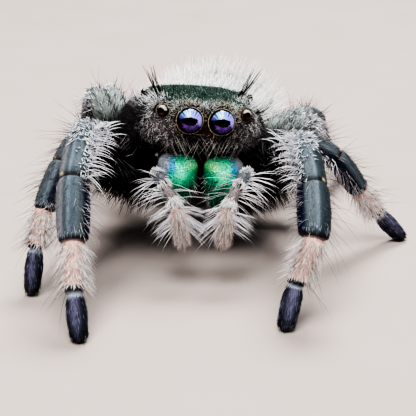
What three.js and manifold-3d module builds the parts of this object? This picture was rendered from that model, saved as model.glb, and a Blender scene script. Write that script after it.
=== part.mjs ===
// A regal jumping spider in its alert stance, life size, in millimetres.
// +Z is up and the face looks along -Y. The spider's own left is on +X.
// The head part (prosoma) has its own frame: its origin lies midway between the two
// large front eyes, x to the spider's left, y backwards and z up.
import * as THREE from 'three';
import { mergeVertices } from 'three/addons/utils/BufferGeometryUtils.js';
import Module from 'manifold-3d';

const wasm = await Module();
wasm.setup();

// ---------------------------------------------------------------- driving dimensions
const EYE_HEIGHT = 4.9; // large front eyes above the floor
const HEAD_YAW = 8; // degrees, face turned towards +X
const HEAD_PITCH = -6; // degrees, nose up
const HEAD_ROLL = 5.6; // degrees, +X side lower
const GAP = 0.03; // between neighbouring solids
const LEG_SIDES = 9;
const JOINT_SHARE = 0.4; // share of a segment over which its rings turn towards a joint

const EYES = [
  // name, x, y, z and radius, for one side of the head
  ['eye_front_middle', 0.525, 0.0, 0.0, 0.43],
  ['eye_front_side', 1.36, 0.42, 0.19, 0.225],
  ['eye_small_side', 1.6, 1.4, 0.46, 0.085],
  ['eye_rear_side', 1.74, 2.35, 0.42, 0.215],
];

// Carapace cross-sections from the face back: y, half width, top and bottom.
const CARAPACE_SECTIONS = [
  [-0.16, 0.8, 0.26, -0.94],
  [-0.05, 1.3, 0.44, -1.08],
  [0.12, 1.62, 0.56, -1.2],
  [0.38, 1.88, 0.64, -1.32],
  [0.9, 2.08, 0.71, -1.48],
  [1.6, 2.24, 0.76, -1.62],
  [2.4, 2.4, 0.77, -1.7],
  [3.2, 2.5, 0.68, -1.72],
  [4.0, 2.48, 0.36, -1.72],
  [4.8, 2.22, -0.24, -1.72],
  [5.4, 1.78, -0.8, -1.72],
  [5.8, 1.25, -1.16, -1.72],
  [6.0, 0.7, -1.34, -1.7],
];
const CARAPACE_TAPER = 0.17; // the top is narrower than the middle by this share
const CARAPACE_TUCK = 0.07; // and so is the lower margin by this one
const CARAPACE_SQUARENESS = 2.9; // exponent of the cross-section's superellipse
const CARAPACE_SIDES = 28;

// Brow tufts, one on each side: root, way of growth, and radius by distance from the root.
const TUFT_ROOT = [1.52, 1.78, 0.38];
const TUFT_WAY = [0.44, -0.2, 0.88];
const TUFT_RADII = [[0, 0.12], [0.5, 0.1], [1.25, 0.05]];
const TUFT_SIDES = 8;

// Breast plate under the carapace: y, half width, top and bottom.
const STERNUM_SECTIONS = [
  [1.02, 0.62, -1.78, -2.74],
  [1.4, 0.92, -1.76, -2.9],
  [2.2, 0.98, -1.76, -3.0],
  [3.6, 0.98, -1.76, -3.02],
  [4.9, 0.9, -1.76, -2.95],
  [5.45, 0.5, -1.82, -2.7],
];
const COXA_X = 1.03; // where a coxa meets the breast plate

// Abdomen, along its own axis from the waist to the spinnerets.
const ABDOMEN_LENGTH = 7.3;
const ABDOMEN_START = 0.012; // share of the length where the waist meets it
const ABDOMEN_END = 0.985; // and where the spinnerets do
const ABDOMEN_HALF_WIDTH = 2.62;
const ABDOMEN_HALF_HEIGHT = 1.84;
const ABDOMEN_FRONT = new THREE.Vector3(-0.68, 6.08, 2.1);
const ABDOMEN_BEND = 14; // degrees, tail end towards +X
const ABDOMEN_SLOPE = -3; // degrees, tail end lower

// Per pair: lengths of femur, patella, tibia, metatarsus and tarsus, and their radii.
const LEG_PAIRS = [
  {
    hip: [2.0, 1.8, -2.36],
    lengths: [4.0, 1.95, 2.15, 1.58, 1.48],
    radii: { coxa: 0.45, femur: 0.57, patella: 0.55, tibia: 0.56, metatarsus: 0.36, tarsus: 0.36 },
  },
  {
    hip: [2.25, 2.86, -2.42],
    lengths: [3.2, 1.45, 1.65, 1.27, 1.52],
    radii: { coxa: 0.43, femur: 0.46, patella: 0.43, tibia: 0.43, metatarsus: 0.33, tarsus: 0.33 },
  },
  {
    hip: [2.2, 3.9, -2.42],
    lengths: [2.9, 1.35, 1.6, 1.7, 1.15],
    radii: { coxa: 0.43, femur: 0.43, patella: 0.38, tibia: 0.36, metatarsus: 0.28, tarsus: 0.27 },
  },
  {
    hip: [1.85, 4.92, -2.4],
    lengths: [3.3, 1.6, 2.2, 2.1, 1.2],
    radii: { coxa: 0.44, femur: 0.47, patella: 0.4, tibia: 0.38, metatarsus: 0.28, tarsus: 0.27 },
  },
];

// Stance of each leg: where its foot stands on the floor, the slopes of tarsus and
// metatarsus in degrees, the lean of the leg's plane backwards and the bow of its shin.
const STANCES = {
  leg_1_right: { foot: [-3.69, -6.32], tarsus: 64, metatarsus: 56, lean: 15, bow: 25 },
  leg_1_left: { foot: [2.36, -5.56], tarsus: 65, metatarsus: 90, lean: 22, bow: 16 },
  leg_2_right: { foot: [-5.55, -2.98], tarsus: 73, metatarsus: 64, lean: 2, bow: 16 },
  leg_2_left: { foot: [6.98, 1.76], tarsus: 54, metatarsus: 61, lean: -32, bow: 36 },
  leg_3_right: { foot: [-5.4, 7.6], tarsus: 50, metatarsus: 38, lean: 5, bow: 14 },
  leg_3_left: { foot: [5.6, 8.7], tarsus: 46, metatarsus: 34, lean: 30, bow: 14 },
  leg_4_right: { foot: [-4.8, 12.8], tarsus: 48, metatarsus: 34, lean: 5, bow: 14 },
  leg_4_left: { foot: [4.9, 12.9], tarsus: 48, metatarsus: 36, lean: 36, bow: 14 },
};

const SEGMENTS = ['femur', 'patella', 'tibia', 'metatarsus', 'tarsus'];

// ---------------------------------------------------------------- materials
function finish(color, roughness, metalness = 0) {
  return () => new THREE.MeshStandardMaterial({ color, roughness, metalness });
}

const shellFinish = finish(0x2b2826, 0.6);
const bellyFinish = finish(0x15161a, 0.7);
const lensFinish = finish(0x1b1636, 0.08);
const jawFinish = finish(0x1f9a78, 0.35, 0.5);
const fangFinish = finish(0x1a0d08, 0.25);
const palpFinish = finish(0x9c8f8a, 0.75);
const hairFinish = finish(0xc9c8c4, 0.85);
const velvetFinish = finish(0x4d545c, 0.7);
const paleFinish = finish(0xb09c94, 0.8);
const toeFinish = finish(0x141822, 0.6);
const LEG_FINISH = {
  femur: velvetFinish,
  patella: velvetFinish,
  tibia: velvetFinish,
  metatarsus: paleFinish,
  tarsus: toeFinish,
};

// ---------------------------------------------------------------- small helpers
const radians = THREE.MathUtils.degToRad;

function mix(a, b, t) {
  return a + (b - a) * t;
}

function clampUnit(value) {
  return Math.min(1, Math.max(0, value));
}

// Closed geometry from rings of equal size, with a fan over each end ring.
function loft(rings) {
  const sides = rings[0].length;
  const positions = [];
  const index = [];
  rings.forEach((ring) => ring.forEach((p) => positions.push(p.x, p.y, p.z)));
  for (let r = 0; r < rings.length - 1; r += 1) {
    for (let s = 0; s < sides; s += 1) {
      const a = r * sides + s;
      const b = r * sides + ((s + 1) % sides);
      index.push(a, b, a + sides, b, b + sides, a + sides);
    }
  }
  const ends = [rings[0], rings[rings.length - 1]];
  ends.forEach((ring, end) => {
    const centre = new THREE.Vector3();
    ring.forEach((p) => centre.addScaledVector(p, 1 / sides));
    const hub = positions.length / 3;
    positions.push(centre.x, centre.y, centre.z);
    const first = end * (rings.length - 1) * sides;
    for (let s = 0; s < sides; s += 1) {
      const a = first + s;
      const b = first + ((s + 1) % sides);
      if (end === 0) {
        index.push(hub, b, a);
      } else {
        index.push(hub, a, b);
      }
    }
  });
  const geometry = new THREE.BufferGeometry();
  geometry.setAttribute('position', new THREE.Float32BufferAttribute(positions, 3));
  geometry.setIndex(index);
  geometry.computeVertexNormals();
  return geometry;
}

// A superellipse section standing across y, drawn in by taper above and tuck below.
function bodyRing(y, halfWidth, top, bottom, sides, squareness, taper, tuck) {
  const middle = (top + bottom) / 2;
  const halfHeight = (top - bottom) / 2;
  const ring = [];
  for (let s = 0; s < sides; s += 1) {
    const angle = (-2 * Math.PI * s) / sides;
    const c = Math.cos(angle);
    const q = Math.sin(angle);
    const x = Math.sign(c) * Math.abs(c) ** (2 / squareness);
    const z = Math.sign(q) * Math.abs(q) ** (2 / squareness);
    const width = halfWidth * (1 - (z > 0 ? taper : tuck) * Math.abs(z));
    ring.push(new THREE.Vector3(x * width, y, middle + z * halfHeight));
  }
  return ring;
}

function solidOf(geometry) {
  const bare = geometry.clone();
  bare.deleteAttribute('normal');
  bare.deleteAttribute('uv');
  const merged = mergeVertices(bare, 1e-5);
  return new wasm.Manifold(
    new wasm.Mesh({
      numProp: 3,
      vertProperties: new Float32Array(merged.attributes.position.array),
      triVerts: new Uint32Array(merged.index.array),
    }),
  );
}

function geometryOf(solid) {
  const mesh = solid.getMesh();
  const geometry = new THREE.BufferGeometry();
  geometry.setAttribute('position', new THREE.BufferAttribute(new Float32Array(mesh.vertProperties), 3));
  geometry.setIndex(new THREE.BufferAttribute(new Uint32Array(mesh.triVerts), 1));
  geometry.computeVertexNormals();
  return geometry;
}

function addPiece(parent, name, geometry, makeMaterial) {
  const piece = new THREE.Mesh(geometry, makeMaterial());
  piece.name = name;
  parent.add(piece);
  return piece;
}

// ---------------------------------------------------------------- head part
const spider = new THREE.Group();
const prosoma = new THREE.Group();
prosoma.rotation.set(radians(HEAD_PITCH), radians(HEAD_ROLL), radians(HEAD_YAW), 'ZXY');
prosoma.position.set(0, 0, EYE_HEIGHT);
spider.add(prosoma);
prosoma.updateMatrixWorld(true);

function inHead(x, y, z) {
  return prosoma.localToWorld(new THREE.Vector3(x, y, z));
}

function eyeBall(radius, grow = 0) {
  const across = radius > 0.3 ? 16 : 10;
  return new THREE.SphereGeometry(radius + grow, across, across / 2);
}

function carapaceSolid() {
  const rings = CARAPACE_SECTIONS.map(([y, halfWidth, top, bottom]) =>
    bodyRing(
      y,
      halfWidth,
      top,
      bottom,
      CARAPACE_SIDES,
      CARAPACE_SQUARENESS,
      CARAPACE_TAPER,
      CARAPACE_TUCK,
    ),
  );
  return solidOf(loft(rings));
}

// A brow tuft: a tapering brush that stands on the carapace between two side eyes.
function browTuft(side) {
  const way = new THREE.Vector3(side * TUFT_WAY[0], TUFT_WAY[1], TUFT_WAY[2]).normalize();
  const root = new THREE.Vector3(side * TUFT_ROOT[0], TUFT_ROOT[1], TUFT_ROOT[2]);
  const rings = TUFT_RADII.map(([along, radius]) => {
    const sample = { point: root.clone().addScaledVector(way, along), tangent: way };
    return limbRing(sample, new THREE.Vector3(0, 1, 0), radius, radius, TUFT_SIDES);
  });
  return solidOf(loft(rings));
}

function buildCarapace() {
  let shell = carapaceSolid().add(browTuft(-1)).add(browTuft(1));
  EYES.forEach(([, x, y, z, radius]) => {
    [-1, 1].forEach((side) => {
      const socket = eyeBall(radius, GAP);
      socket.translate(side * x, y, z);
      shell = shell.subtract(solidOf(socket));
    });
  });
  addPiece(prosoma, 'carapace', geometryOf(shell), shellFinish);
}

function buildEyes() {
  EYES.forEach(([name, x, y, z, radius]) => {
    [['right', -1], ['left', 1]].forEach(([word, side]) => {
      const eye = addPiece(prosoma, `${name}_${word}`, eyeBall(radius), lensFinish);
      eye.position.set(side * x, y, z);
    });
  });
}

function buildSternum() {
  const rings = STERNUM_SECTIONS.map(([y, halfWidth, top, bottom]) =>
    bodyRing(y, halfWidth, top, bottom, 14, 3.2, 0, 0),
  );
  addPiece(prosoma, 'sternum', loft(rings), bellyFinish);
}

// ---------------------------------------------------------------- limbs along a path
// Which way a limb's ring faces at share t of a straight span: square to the span in
// its middle, and turned into the half-way plane of the joint at either end.
function ringFacing(own, atStart, atEnd, t) {
  const start = clampUnit(1 - t / JOINT_SHARE);
  const end = clampUnit(1 - (1 - t) / JOINT_SHARE);
  return own
    .clone()
    .multiplyScalar(1 - start - end)
    .addScaledVector(atStart, start)
    .addScaledVector(atEnd, end)
    .normalize();
}

// Oval ring across the path. normal is the direction out of the limb's own plane.
function limbRing(sample, normal, across, deep, sides) {
  const outward = normal.clone().addScaledVector(sample.tangent, -normal.dot(sample.tangent)).normalize();
  const upward = new THREE.Vector3().crossVectors(sample.tangent, outward);
  const ring = [];
  for (let s = 0; s < sides; s += 1) {
    const angle = (2 * Math.PI * (s + 0.5)) / sides;
    ring.push(
      sample.point
        .clone()
        .addScaledVector(outward, across * Math.cos(angle))
        .addScaledVector(upward, deep * Math.sin(angle)),
    );
  }
  return ring;
}

// Radius along a profile of [share of length, share of full radius] pairs.
function profileAt(profile, t) {
  let i = 1;
  while (i < profile.length - 1 && profile[i][0] < t) {
    i += 1;
  }
  const [t0, r0] = profile[i - 1];
  const [t1, r1] = profile[i];
  return mix(r0, r1, clampUnit((t - t0) / (t1 - t0)));
}

// Places of hip, knee, shin joint, ankle, toe joint and foot for one leg.
// All lie in one plane through hip and foot, which leans by the stance's lean.
function legJoints(hip, stance, lengths) {
  const [femur, patella, tibia, metatarsus, tarsus] = lengths;
  const foot = new THREE.Vector3(stance.foot[0], stance.foot[1], 0);
  const line = hip.clone().sub(foot).normalize();
  const up = new THREE.Vector3(0, 0, 1).addScaledVector(line, -line.z).normalize();
  const out = new THREE.Vector3().crossVectors(line, up).normalize();
  if (out.x * hip.x < 0) {
    out.negate();
  }
  const lean = radians(stance.lean);
  const rise = up.multiplyScalar(Math.cos(lean)).addScaledVector(out, Math.sin(lean));
  const base = Math.asin(line.z);
  const slant = (from, degrees, length) => {
    const angle = radians(degrees) - base;
    return from
      .clone()
      .addScaledVector(line, Math.cos(angle) * length)
      .addScaledVector(rise, Math.sin(angle) * length);
  };
  const toe = slant(foot, stance.tarsus, tarsus);
  const ankle = slant(toe, stance.metatarsus, metatarsus);
  const bow = radians(stance.bow);
  const chord = Math.sqrt(patella ** 2 + tibia ** 2 + 2 * patella * tibia * Math.cos(bow));
  const reach = hip.clone().sub(ankle);
  const distance = Math.min(reach.length(), (femur + chord) * 0.999);
  reach.normalize();
  const side = rise.clone().addScaledVector(reach, -rise.dot(reach)).normalize();
  const lift = Math.acos((chord ** 2 + distance ** 2 - femur ** 2) / (2 * chord * distance));
  const towardsKnee = reach.clone().multiplyScalar(Math.cos(lift)).addScaledVector(side, Math.sin(lift));
  const outwards = side.clone().multiplyScalar(Math.cos(lift)).addScaledVector(reach, -Math.sin(lift));
  const knee = ankle.clone().addScaledVector(towardsKnee, chord);
  const kink = Math.asin((patella * Math.sin(bow)) / chord);
  const shin = ankle
    .clone()
    .addScaledVector(towardsKnee, tibia * Math.cos(kink))
    .addScaledVector(outwards, tibia * Math.sin(kink));
  return [hip, knee, shin, ankle, toe, foot];
}

// Thickness along each segment, from its upper to its lower end.
const LEG_PROFILES = {
  femur: [[0, 0.8], [0.17, 0.78], [0.34, 0.9], [0.6, 1], [0.85, 0.94], [1, 0.8]],
  patella: [[0, 0.82], [0.2, 0.97], [0.55, 1], [0.85, 0.94], [1, 0.8]],
  tibia: [[0, 0.8], [0.15, 0.96], [0.5, 1], [0.85, 0.86], [1, 0.7]],
  metatarsus: [[0, 0.98], [0.2, 1], [0.7, 0.93], [1, 0.92]],
  tarsus: [[0, 0.8], [0.2, 0.92], [0.5, 1], [0.8, 0.86], [1, 0.66]],
};
const LEG_RINGS = { femur: 7, patella: 5, tibia: 5, metatarsus: 4, tarsus: 5 };
const LEG_FLATNESS = 0.94; // a leg is a little narrower than it is deep
const COXA_PROFILE = [[0, 0.94], [0.5, 1], [1, 0.98]];

// Rings of one straight span of a limb between two joints.
function spanRings(from, to, atStart, atEnd, count, radiusAt, flatness, normal) {
  const own = to.clone().sub(from).normalize();
  const rings = [];
  for (let k = 0; k < count; k += 1) {
    const t = k / (count - 1);
    const sample = { point: from.clone().lerp(to, t), tangent: ringFacing(own, atStart, atEnd, t) };
    const deep = radiusAt(t);
    rings.push(limbRing(sample, normal, deep * flatness, deep, LEG_SIDES));
  }
  return rings;
}

function buildLeg(name, pair, side) {
  const stance = STANCES[name];
  const hip = inHead(side * pair.hip[0], pair.hip[1], pair.hip[2]);
  const coxa = inHead(side * COXA_X, pair.hip[1], pair.hip[2] - 0.02);
  const joints = legJoints(hip, stance, pair.lengths);
  const alongLeg = joints[5].clone().sub(hip);
  const alongFemur = joints[1].clone().sub(hip);
  const normal = new THREE.Vector3().crossVectors(alongLeg, alongFemur).normalize();
  const course = [coxa, ...joints];
  const spans = course.slice(1).map((joint, i) => joint.clone().sub(course[i]).normalize());
  const facings = spans.slice(1).map((span, i) => span.clone().add(spans[i]).normalize());
  const outward = inHead(side, 0, 0).sub(inHead(0, 0, 0));
  const down = new THREE.Vector3(0, 0, -1);
  SEGMENTS.forEach((segment, number) => {
    const radiusAt = (t) => pair.radii[segment] * profileAt(LEG_PROFILES[segment], t);
    const atStart = facings[number];
    const atEnd = number < 4 ? facings[number + 1] : down;
    const from = joints[number].clone();
    const to = joints[number + 1].clone();
    if (number > 0) {
      from.addScaledVector(atStart, GAP / 2);
    }
    if (number < 4) {
      to.addScaledVector(atEnd, -GAP / 2);
    }
    const rings = spanRings(from, to, atStart, atEnd, LEG_RINGS[segment], radiusAt, LEG_FLATNESS, normal);
    if (number === 0) {
      const coxaRadius = (t) => pair.radii.coxa * profileAt(COXA_PROFILE, t);
      const root = spanRings(coxa, hip, outward, facings[0], 3, coxaRadius, 1, normal);
      rings.unshift(root[0], root[1]);
    }
    addPiece(spider, `${name}_${segment}`, loft(rings), LEG_FINISH[segment]);
  });
}

function buildLegs() {
  LEG_PAIRS.forEach((pair, number) => {
    [['right', -1], ['left', 1]].forEach(([word, side]) => {
      buildLeg(`leg_${number + 1}_${word}`, pair, side);
    });
  });
}

// ---------------------------------------------------------------- jaws and feelers
// Chelicera cross-sections from top to bottom: z, centre x, centre y, half width, half depth.
const CHELICERA_SIDES = 14;
const CHELICERA_SECTIONS = [
  [-1.0, 0.72, 0.66, 0.5, 0.5],
  [-1.2, 0.75, 0.44, 0.6, 0.62],
  [-1.36, 0.77, 0.3, 0.65, 0.68],
  [-1.6, 0.78, 0.22, 0.67, 0.71],
  [-2.0, 0.78, 0.19, 0.65, 0.68],
  [-2.45, 0.77, 0.24, 0.59, 0.58],
  [-2.8, 0.75, 0.34, 0.47, 0.44],
  [-2.95, 0.73, 0.4, 0.33, 0.3],
];

function buildChelicerae() {
  const lip = carapaceSolid().translate([0, 0, -GAP]);
  [['right', -1], ['left', 1]].forEach(([word, side]) => {
    const rings = CHELICERA_SECTIONS.map(([z, x, y, halfWidth, halfDepth]) => {
      const ring = [];
      for (let s = 0; s < CHELICERA_SIDES; s += 1) {
        const angle = (2 * Math.PI * s) / CHELICERA_SIDES;
        const across = halfWidth * Math.cos(angle);
        const depth = halfDepth * Math.sin(angle);
        ring.push(new THREE.Vector3(side * x + across, y - depth, z));
      }
      return ring;
    });
    const jaw = solidOf(loft(rings)).subtract(lip);
    addPiece(prosoma, `chelicera_${word}`, geometryOf(jaw), jawFinish);
  });
}

// Each fang is folded inwards under its jaw.
function buildFangs() {
  [['right', -1], ['left', 1]].forEach(([word, side]) => {
    const curve = new THREE.QuadraticBezierCurve3(
      new THREE.Vector3(side * 0.86, 0.44, -3.17),
      new THREE.Vector3(side * 0.62, 0.3, -3.38),
      new THREE.Vector3(side * 0.22, 0.5, -3.3),
    );
    const rings = [0, 0.35, 0.7, 1].map((t) => {
      const sample = { point: curve.getPoint(t), tangent: curve.getTangent(t) };
      const radius = mix(0.18, 0.07, t);
      return limbRing(sample, new THREE.Vector3(0, 1, 0), radius, radius, 8);
    });
    addPiece(prosoma, `fang_${word}`, loft(rings), fangFinish);
  });
}

// Palps, from the mouth over their knee and down to the hanging tip, in the head's frame.
const PALP_ROUTES = {
  palp_right: [
    [-1.5, 1.1, -2.5],
    [-1.78, 0.3, -2.2],
    [-1.56, -0.36, -1.77],
    [-0.98, -1.36, -2.58],
    [-0.6, -1.62, -3.9],
  ],
  palp_left: [
    [1.5, 1.1, -2.5],
    [1.72, 0.2, -2.1],
    [1.41, -0.76, -1.53],
    [0.7, -1.72, -2.45],
    [0.57, -1.93, -3.78],
  ],
};
const PALP_PROFILE = [
  [0, 0.25],
  [0.2, 0.26],
  [0.42, 0.27],
  [0.6, 0.26],
  [0.72, 0.34],
  [0.88, 0.37],
  [1, 0.24],
];
const PALP_RINGS = 13;
const PALP_SIDES = 9;

function buildPalps() {
  Object.entries(PALP_ROUTES).forEach(([name, route]) => {
    const curve = new THREE.CatmullRomCurve3(route.map((p) => new THREE.Vector3(...p)));
    const rings = [];
    for (let k = 0; k < PALP_RINGS; k += 1) {
      const t = k / (PALP_RINGS - 1);
      const sample = { point: curve.getPointAt(t), tangent: curve.getTangentAt(t) };
      const radius = profileAt(PALP_PROFILE, t);
      rings.push(limbRing(sample, new THREE.Vector3(1, 0, 0), radius, radius, PALP_SIDES));
    }
    addPiece(prosoma, name, loft(rings), palpFinish);
  });
}

// ---------------------------------------------------------------- abdomen
// Share of the full size along the abdomen, blunt in front and tapering behind.
function abdomenSize(t) {
  return Math.sqrt(1 - Math.abs(2 * t ** 0.9 - 1) ** 2.3);
}

function buildAbdomen() {
  const abdomen = new THREE.Group();
  abdomen.rotation.set(radians(ABDOMEN_SLOPE), 0, -radians(ABDOMEN_BEND), 'ZXY');
  abdomen.position.copy(ABDOMEN_FRONT);
  spider.add(abdomen);
  const rings = [];
  for (let k = 0; k < 17; k += 1) {
    const t = mix(ABDOMEN_START, ABDOMEN_END, 0.5 - 0.5 * Math.cos((Math.PI * k) / 16));
    const size = abdomenSize(t);
    const halfWidth = ABDOMEN_HALF_WIDTH * size;
    const halfHeight = ABDOMEN_HALF_HEIGHT * size;
    const centre = -0.12 * Math.cos(Math.PI * t);
    rings.push(
      bodyRing(t * ABDOMEN_LENGTH, halfWidth, centre + halfHeight, centre - halfHeight, 20, 2.1, 0.05, 0),
    );
  }
  addPiece(abdomen, 'abdomen', loft(rings), hairFinish);
  const spinnerets = [[0, 0.36], [0.25, 0.36], [0.5, 0.24]].map(([along, radius]) => {
    const sample = {
      point: new THREE.Vector3(0, ABDOMEN_LENGTH * ABDOMEN_END + GAP + along, 0.1),
      tangent: new THREE.Vector3(0, 1, 0),
    };
    return limbRing(sample, new THREE.Vector3(1, 0, 0), radius, radius * 0.8, 10);
  });
  addPiece(abdomen, 'spinnerets', loft(spinnerets), bellyFinish);
  abdomen.updateMatrixWorld(true);
  return abdomen;
}

const PEDICEL_RADIUS = 0.27;

// The waist, between the rear of the carapace and the blunt front of the abdomen.
function buildPedicel(abdomen) {
  const rearY = CARAPACE_SECTIONS[CARAPACE_SECTIONS.length - 1][0];
  const from = inHead(0, rearY + GAP, -1.52);
  const to = abdomen.localToWorld(new THREE.Vector3(0, ABDOMEN_LENGTH * ABDOMEN_START - GAP, -0.12));
  const facings = [
    inHead(0, 1, 0).sub(inHead(0, 0, 0)),
    new THREE.Vector3(0, 1, 0).transformDirection(abdomen.matrixWorld),
  ];
  const across = new THREE.Vector3(1, 0, 0);
  const rings = [from, to].map((point, end) =>
    limbRing({ point, tangent: facings[end] }, across, PEDICEL_RADIUS, PEDICEL_RADIUS * 0.7, 10),
  );
  addPiece(spider, 'pedicel', loft(rings), bellyFinish);
}

buildCarapace();
buildEyes();
buildSternum();
buildChelicerae();
buildFangs();
buildPalps();
buildLegs();
const abdomen = buildAbdomen();
buildPedicel(abdomen);

// The origin goes to the middle of the footprint, on the floor.
spider.updateMatrixWorld(true);
const bounds = new THREE.Box3().setFromObject(spider, true);
const middle = bounds.getCenter(new THREE.Vector3());
const model = new THREE.Group();
spider.position.set(-middle.x, -middle.y, -bounds.min.z);
model.add(spider);
model.updateMatrixWorld(true);

export default model;
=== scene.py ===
"""A regal jumping spider, life size: smooth skins over the solid body, a coat of solid
hairs and scales, glossy eyes, iridescent green jaws and dark horn fangs.

Shapes are worked out in millimetres and written to the meshes in metres. The head part
has its own axes: x to the spider's left, y backwards, z up, from midway between the two
large front eyes.
"""
import math
from types import SimpleNamespace
import bpy
import numpy as np
from mathutils import Matrix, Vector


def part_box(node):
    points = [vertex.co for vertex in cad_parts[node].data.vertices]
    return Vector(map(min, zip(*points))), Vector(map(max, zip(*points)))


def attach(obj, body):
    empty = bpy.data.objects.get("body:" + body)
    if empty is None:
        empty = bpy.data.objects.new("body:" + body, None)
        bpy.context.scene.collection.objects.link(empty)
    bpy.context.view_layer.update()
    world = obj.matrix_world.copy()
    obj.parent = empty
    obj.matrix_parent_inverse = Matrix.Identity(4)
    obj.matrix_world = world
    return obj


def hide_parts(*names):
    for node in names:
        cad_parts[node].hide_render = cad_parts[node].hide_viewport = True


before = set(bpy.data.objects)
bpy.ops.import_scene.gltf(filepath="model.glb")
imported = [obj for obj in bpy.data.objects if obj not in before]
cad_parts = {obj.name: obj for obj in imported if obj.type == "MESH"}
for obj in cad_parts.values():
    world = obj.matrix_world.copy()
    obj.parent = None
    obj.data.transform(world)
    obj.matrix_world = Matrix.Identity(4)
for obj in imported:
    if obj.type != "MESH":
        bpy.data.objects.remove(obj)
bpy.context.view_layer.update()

MM = 0.001
PI = math.pi
rng = np.random.default_rng(11)


# ---------- numbers and colours
def linear(code):
    """An sRGB hex value as linear red, green and blue."""
    s = np.array([int(code[i:i + 2], 16) / 255.0 for i in (1, 3, 5)])
    return np.where(s <= 0.04045, s / 12.92, ((s + 0.055) / 1.055) ** 2.4)


def unit(v):
    """Vectors scaled to length one."""
    return v / np.maximum(np.linalg.norm(v, axis=-1, keepdims=True), 1e-12)


def smooth(low, high, x):
    """0 before low, 1 after high and S-shaped between. It falls where high is less."""
    t = np.clip((np.asarray(x, float) - low) / (high - low), 0, 1)
    return t * t * (3 - 2 * t)


def span(a, b, c, d, x):
    """1 from b to c, 0 before a and after d, with S-shaped slopes between."""
    return smooth(a, b, x) * (1 - smooth(c, d, x))


def bump(centre, width, x):
    """A bell of height 1 at the centre."""
    return np.exp(-((np.asarray(x, float) - centre) / width) ** 2)


def blend(a, b, t):
    """From a to b as t goes from 0 to 1, for arrays of colours or points."""
    t = np.asarray(t, float)[..., None]
    return a * (1 - t) + b * t


def paint(base, *coats):
    """A colour, with hex colours laid over it one by one, each by its own weight."""
    colour = linear(base) if isinstance(base, str) else base
    for code, weight in coats:
        colour = blend(colour, linear(code), weight)
    return colour


def ramp(dice, codes):
    """Colours picked along a row of hex colours by dice from 0 to 1."""
    table = np.array([linear(code) for code in codes.split()])
    at = np.clip(dice, 0, 1) * (len(table) - 1)
    k = np.minimum(at.astype(int), len(table) - 2)
    return blend(table[k], table[k + 1], at - k)


def hermite(t, a, slope_a, b, slope_b):
    """A cubic from a to b with the slopes given, at t from 0 to 1."""
    return ((2 * t ** 3 - 3 * t ** 2 + 1) * a + (t ** 3 - 2 * t ** 2 + t) * slope_a
            + (3 * t ** 2 - 2 * t ** 3) * b + (t ** 3 - t ** 2) * slope_b)


def circle(count):
    """Even angles once round."""
    return np.linspace(0, 2 * PI, count, endpoint=False)


def through(stations, at):
    """A smooth curve through rows of stations, read at fractional row numbers: cubics
    that never overshoot a station."""
    y = np.asarray(stations, float)
    slope = np.diff(y, axis=0)
    product = slope[:-1] * slope[1:]
    total = slope[:-1] + slope[1:]
    inner = np.where(product > 0, 2 * product / np.where(total == 0, 1, total), 0)
    d = np.concatenate([slope[:1], inner, slope[-1:]])
    at = np.clip(at, 0, len(y) - 1)
    k = np.minimum(at.astype(int), len(y) - 2)
    return hermite((at - k)[:, None], y[k], d[k], y[k + 1], d[k + 1])


def profile(pairs, at):
    """A smooth curve through [place, value] pairs."""
    places, values = np.array(pairs, float).T
    row = np.interp(at, places, np.arange(len(places)))
    return through(values[:, None], np.atleast_1d(row))[:, 0]


# ---------- measuring the frame
def centre(name):
    return sum(np.array(corner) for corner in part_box(name)) / 2 / MM


def node_points(name):
    """The different vertices of a CAD node, in millimetres."""
    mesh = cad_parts[name].data
    p = np.empty(len(mesh.vertices) * 3, np.float32)
    mesh.vertices.foreach_get("co", p)
    return np.unique(np.round(p.reshape(-1, 3) / MM, 4), axis=0)


def meeting(node_a, node_b):
    """Where two neighbouring solids meet: the middle of their closest facing corners."""
    a, b = node_points(node_a), node_points(node_b)
    gap = np.linalg.norm(a[:, None] - b[None], axis=-1)
    i, j = np.nonzero(gap < gap.min() + 0.004)
    return (a[i] + b[j]).mean(axis=0) / 2


REAR_EYE = (1.74, 2.35, 0.42)  # place of the rear side eyes in the head's axes
EYES = {
    # name: place in the head's axes, radius, the way it looks, colour and thickness of
    # the ring of skin round it
    "eye_front_middle": ((0.525, 0.0, 0.0), 0.45, (0.03, -1.0, 0.02), "#d6c9ac", 0.01),
    "eye_front_side": ((1.36, 0.42, 0.19), 0.225, (0.42, -0.88, 0.16), "#9c8270", 0.018),
    "eye_small_side": ((1.6, 1.4, 0.46), 0.085, (0.7, -0.2, 0.68), None, 0),
    "eye_rear_side": (REAR_EYE, 0.215, (0.74, 0.12, 0.62), "#3a302c", 0.014),
}
LENS_SHARE = 0.985  # radius of the lens as a share of the solid eye's
SIDES = (("right", -1), ("left", 1))

head_o = (centre("eye_front_middle_right") + centre("eye_front_middle_left")) / 2
head_x = unit(centre("eye_front_middle_left") - centre("eye_front_middle_right"))
to_rear = (centre("eye_rear_side_right") + centre("eye_rear_side_left")) / 2 - head_o
over_rear = np.cross(head_x, to_rear)
head_y = unit(REAR_EYE[1] * to_rear - REAR_EYE[2] * over_rear)
head_z = unit(REAR_EYE[2] * to_rear + REAR_EYE[1] * over_rear)
HEAD = np.array([head_x, head_y, head_z])


def from_head(p):
    """Places in the head's axes, as places in the model."""
    return head_o + np.asarray(p, float) @ HEAD


def mirror(p, side):
    """Places or directions on the left, or their mirror image on the right (side -1)."""
    return np.array(p) * [side, 1, 1]


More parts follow.
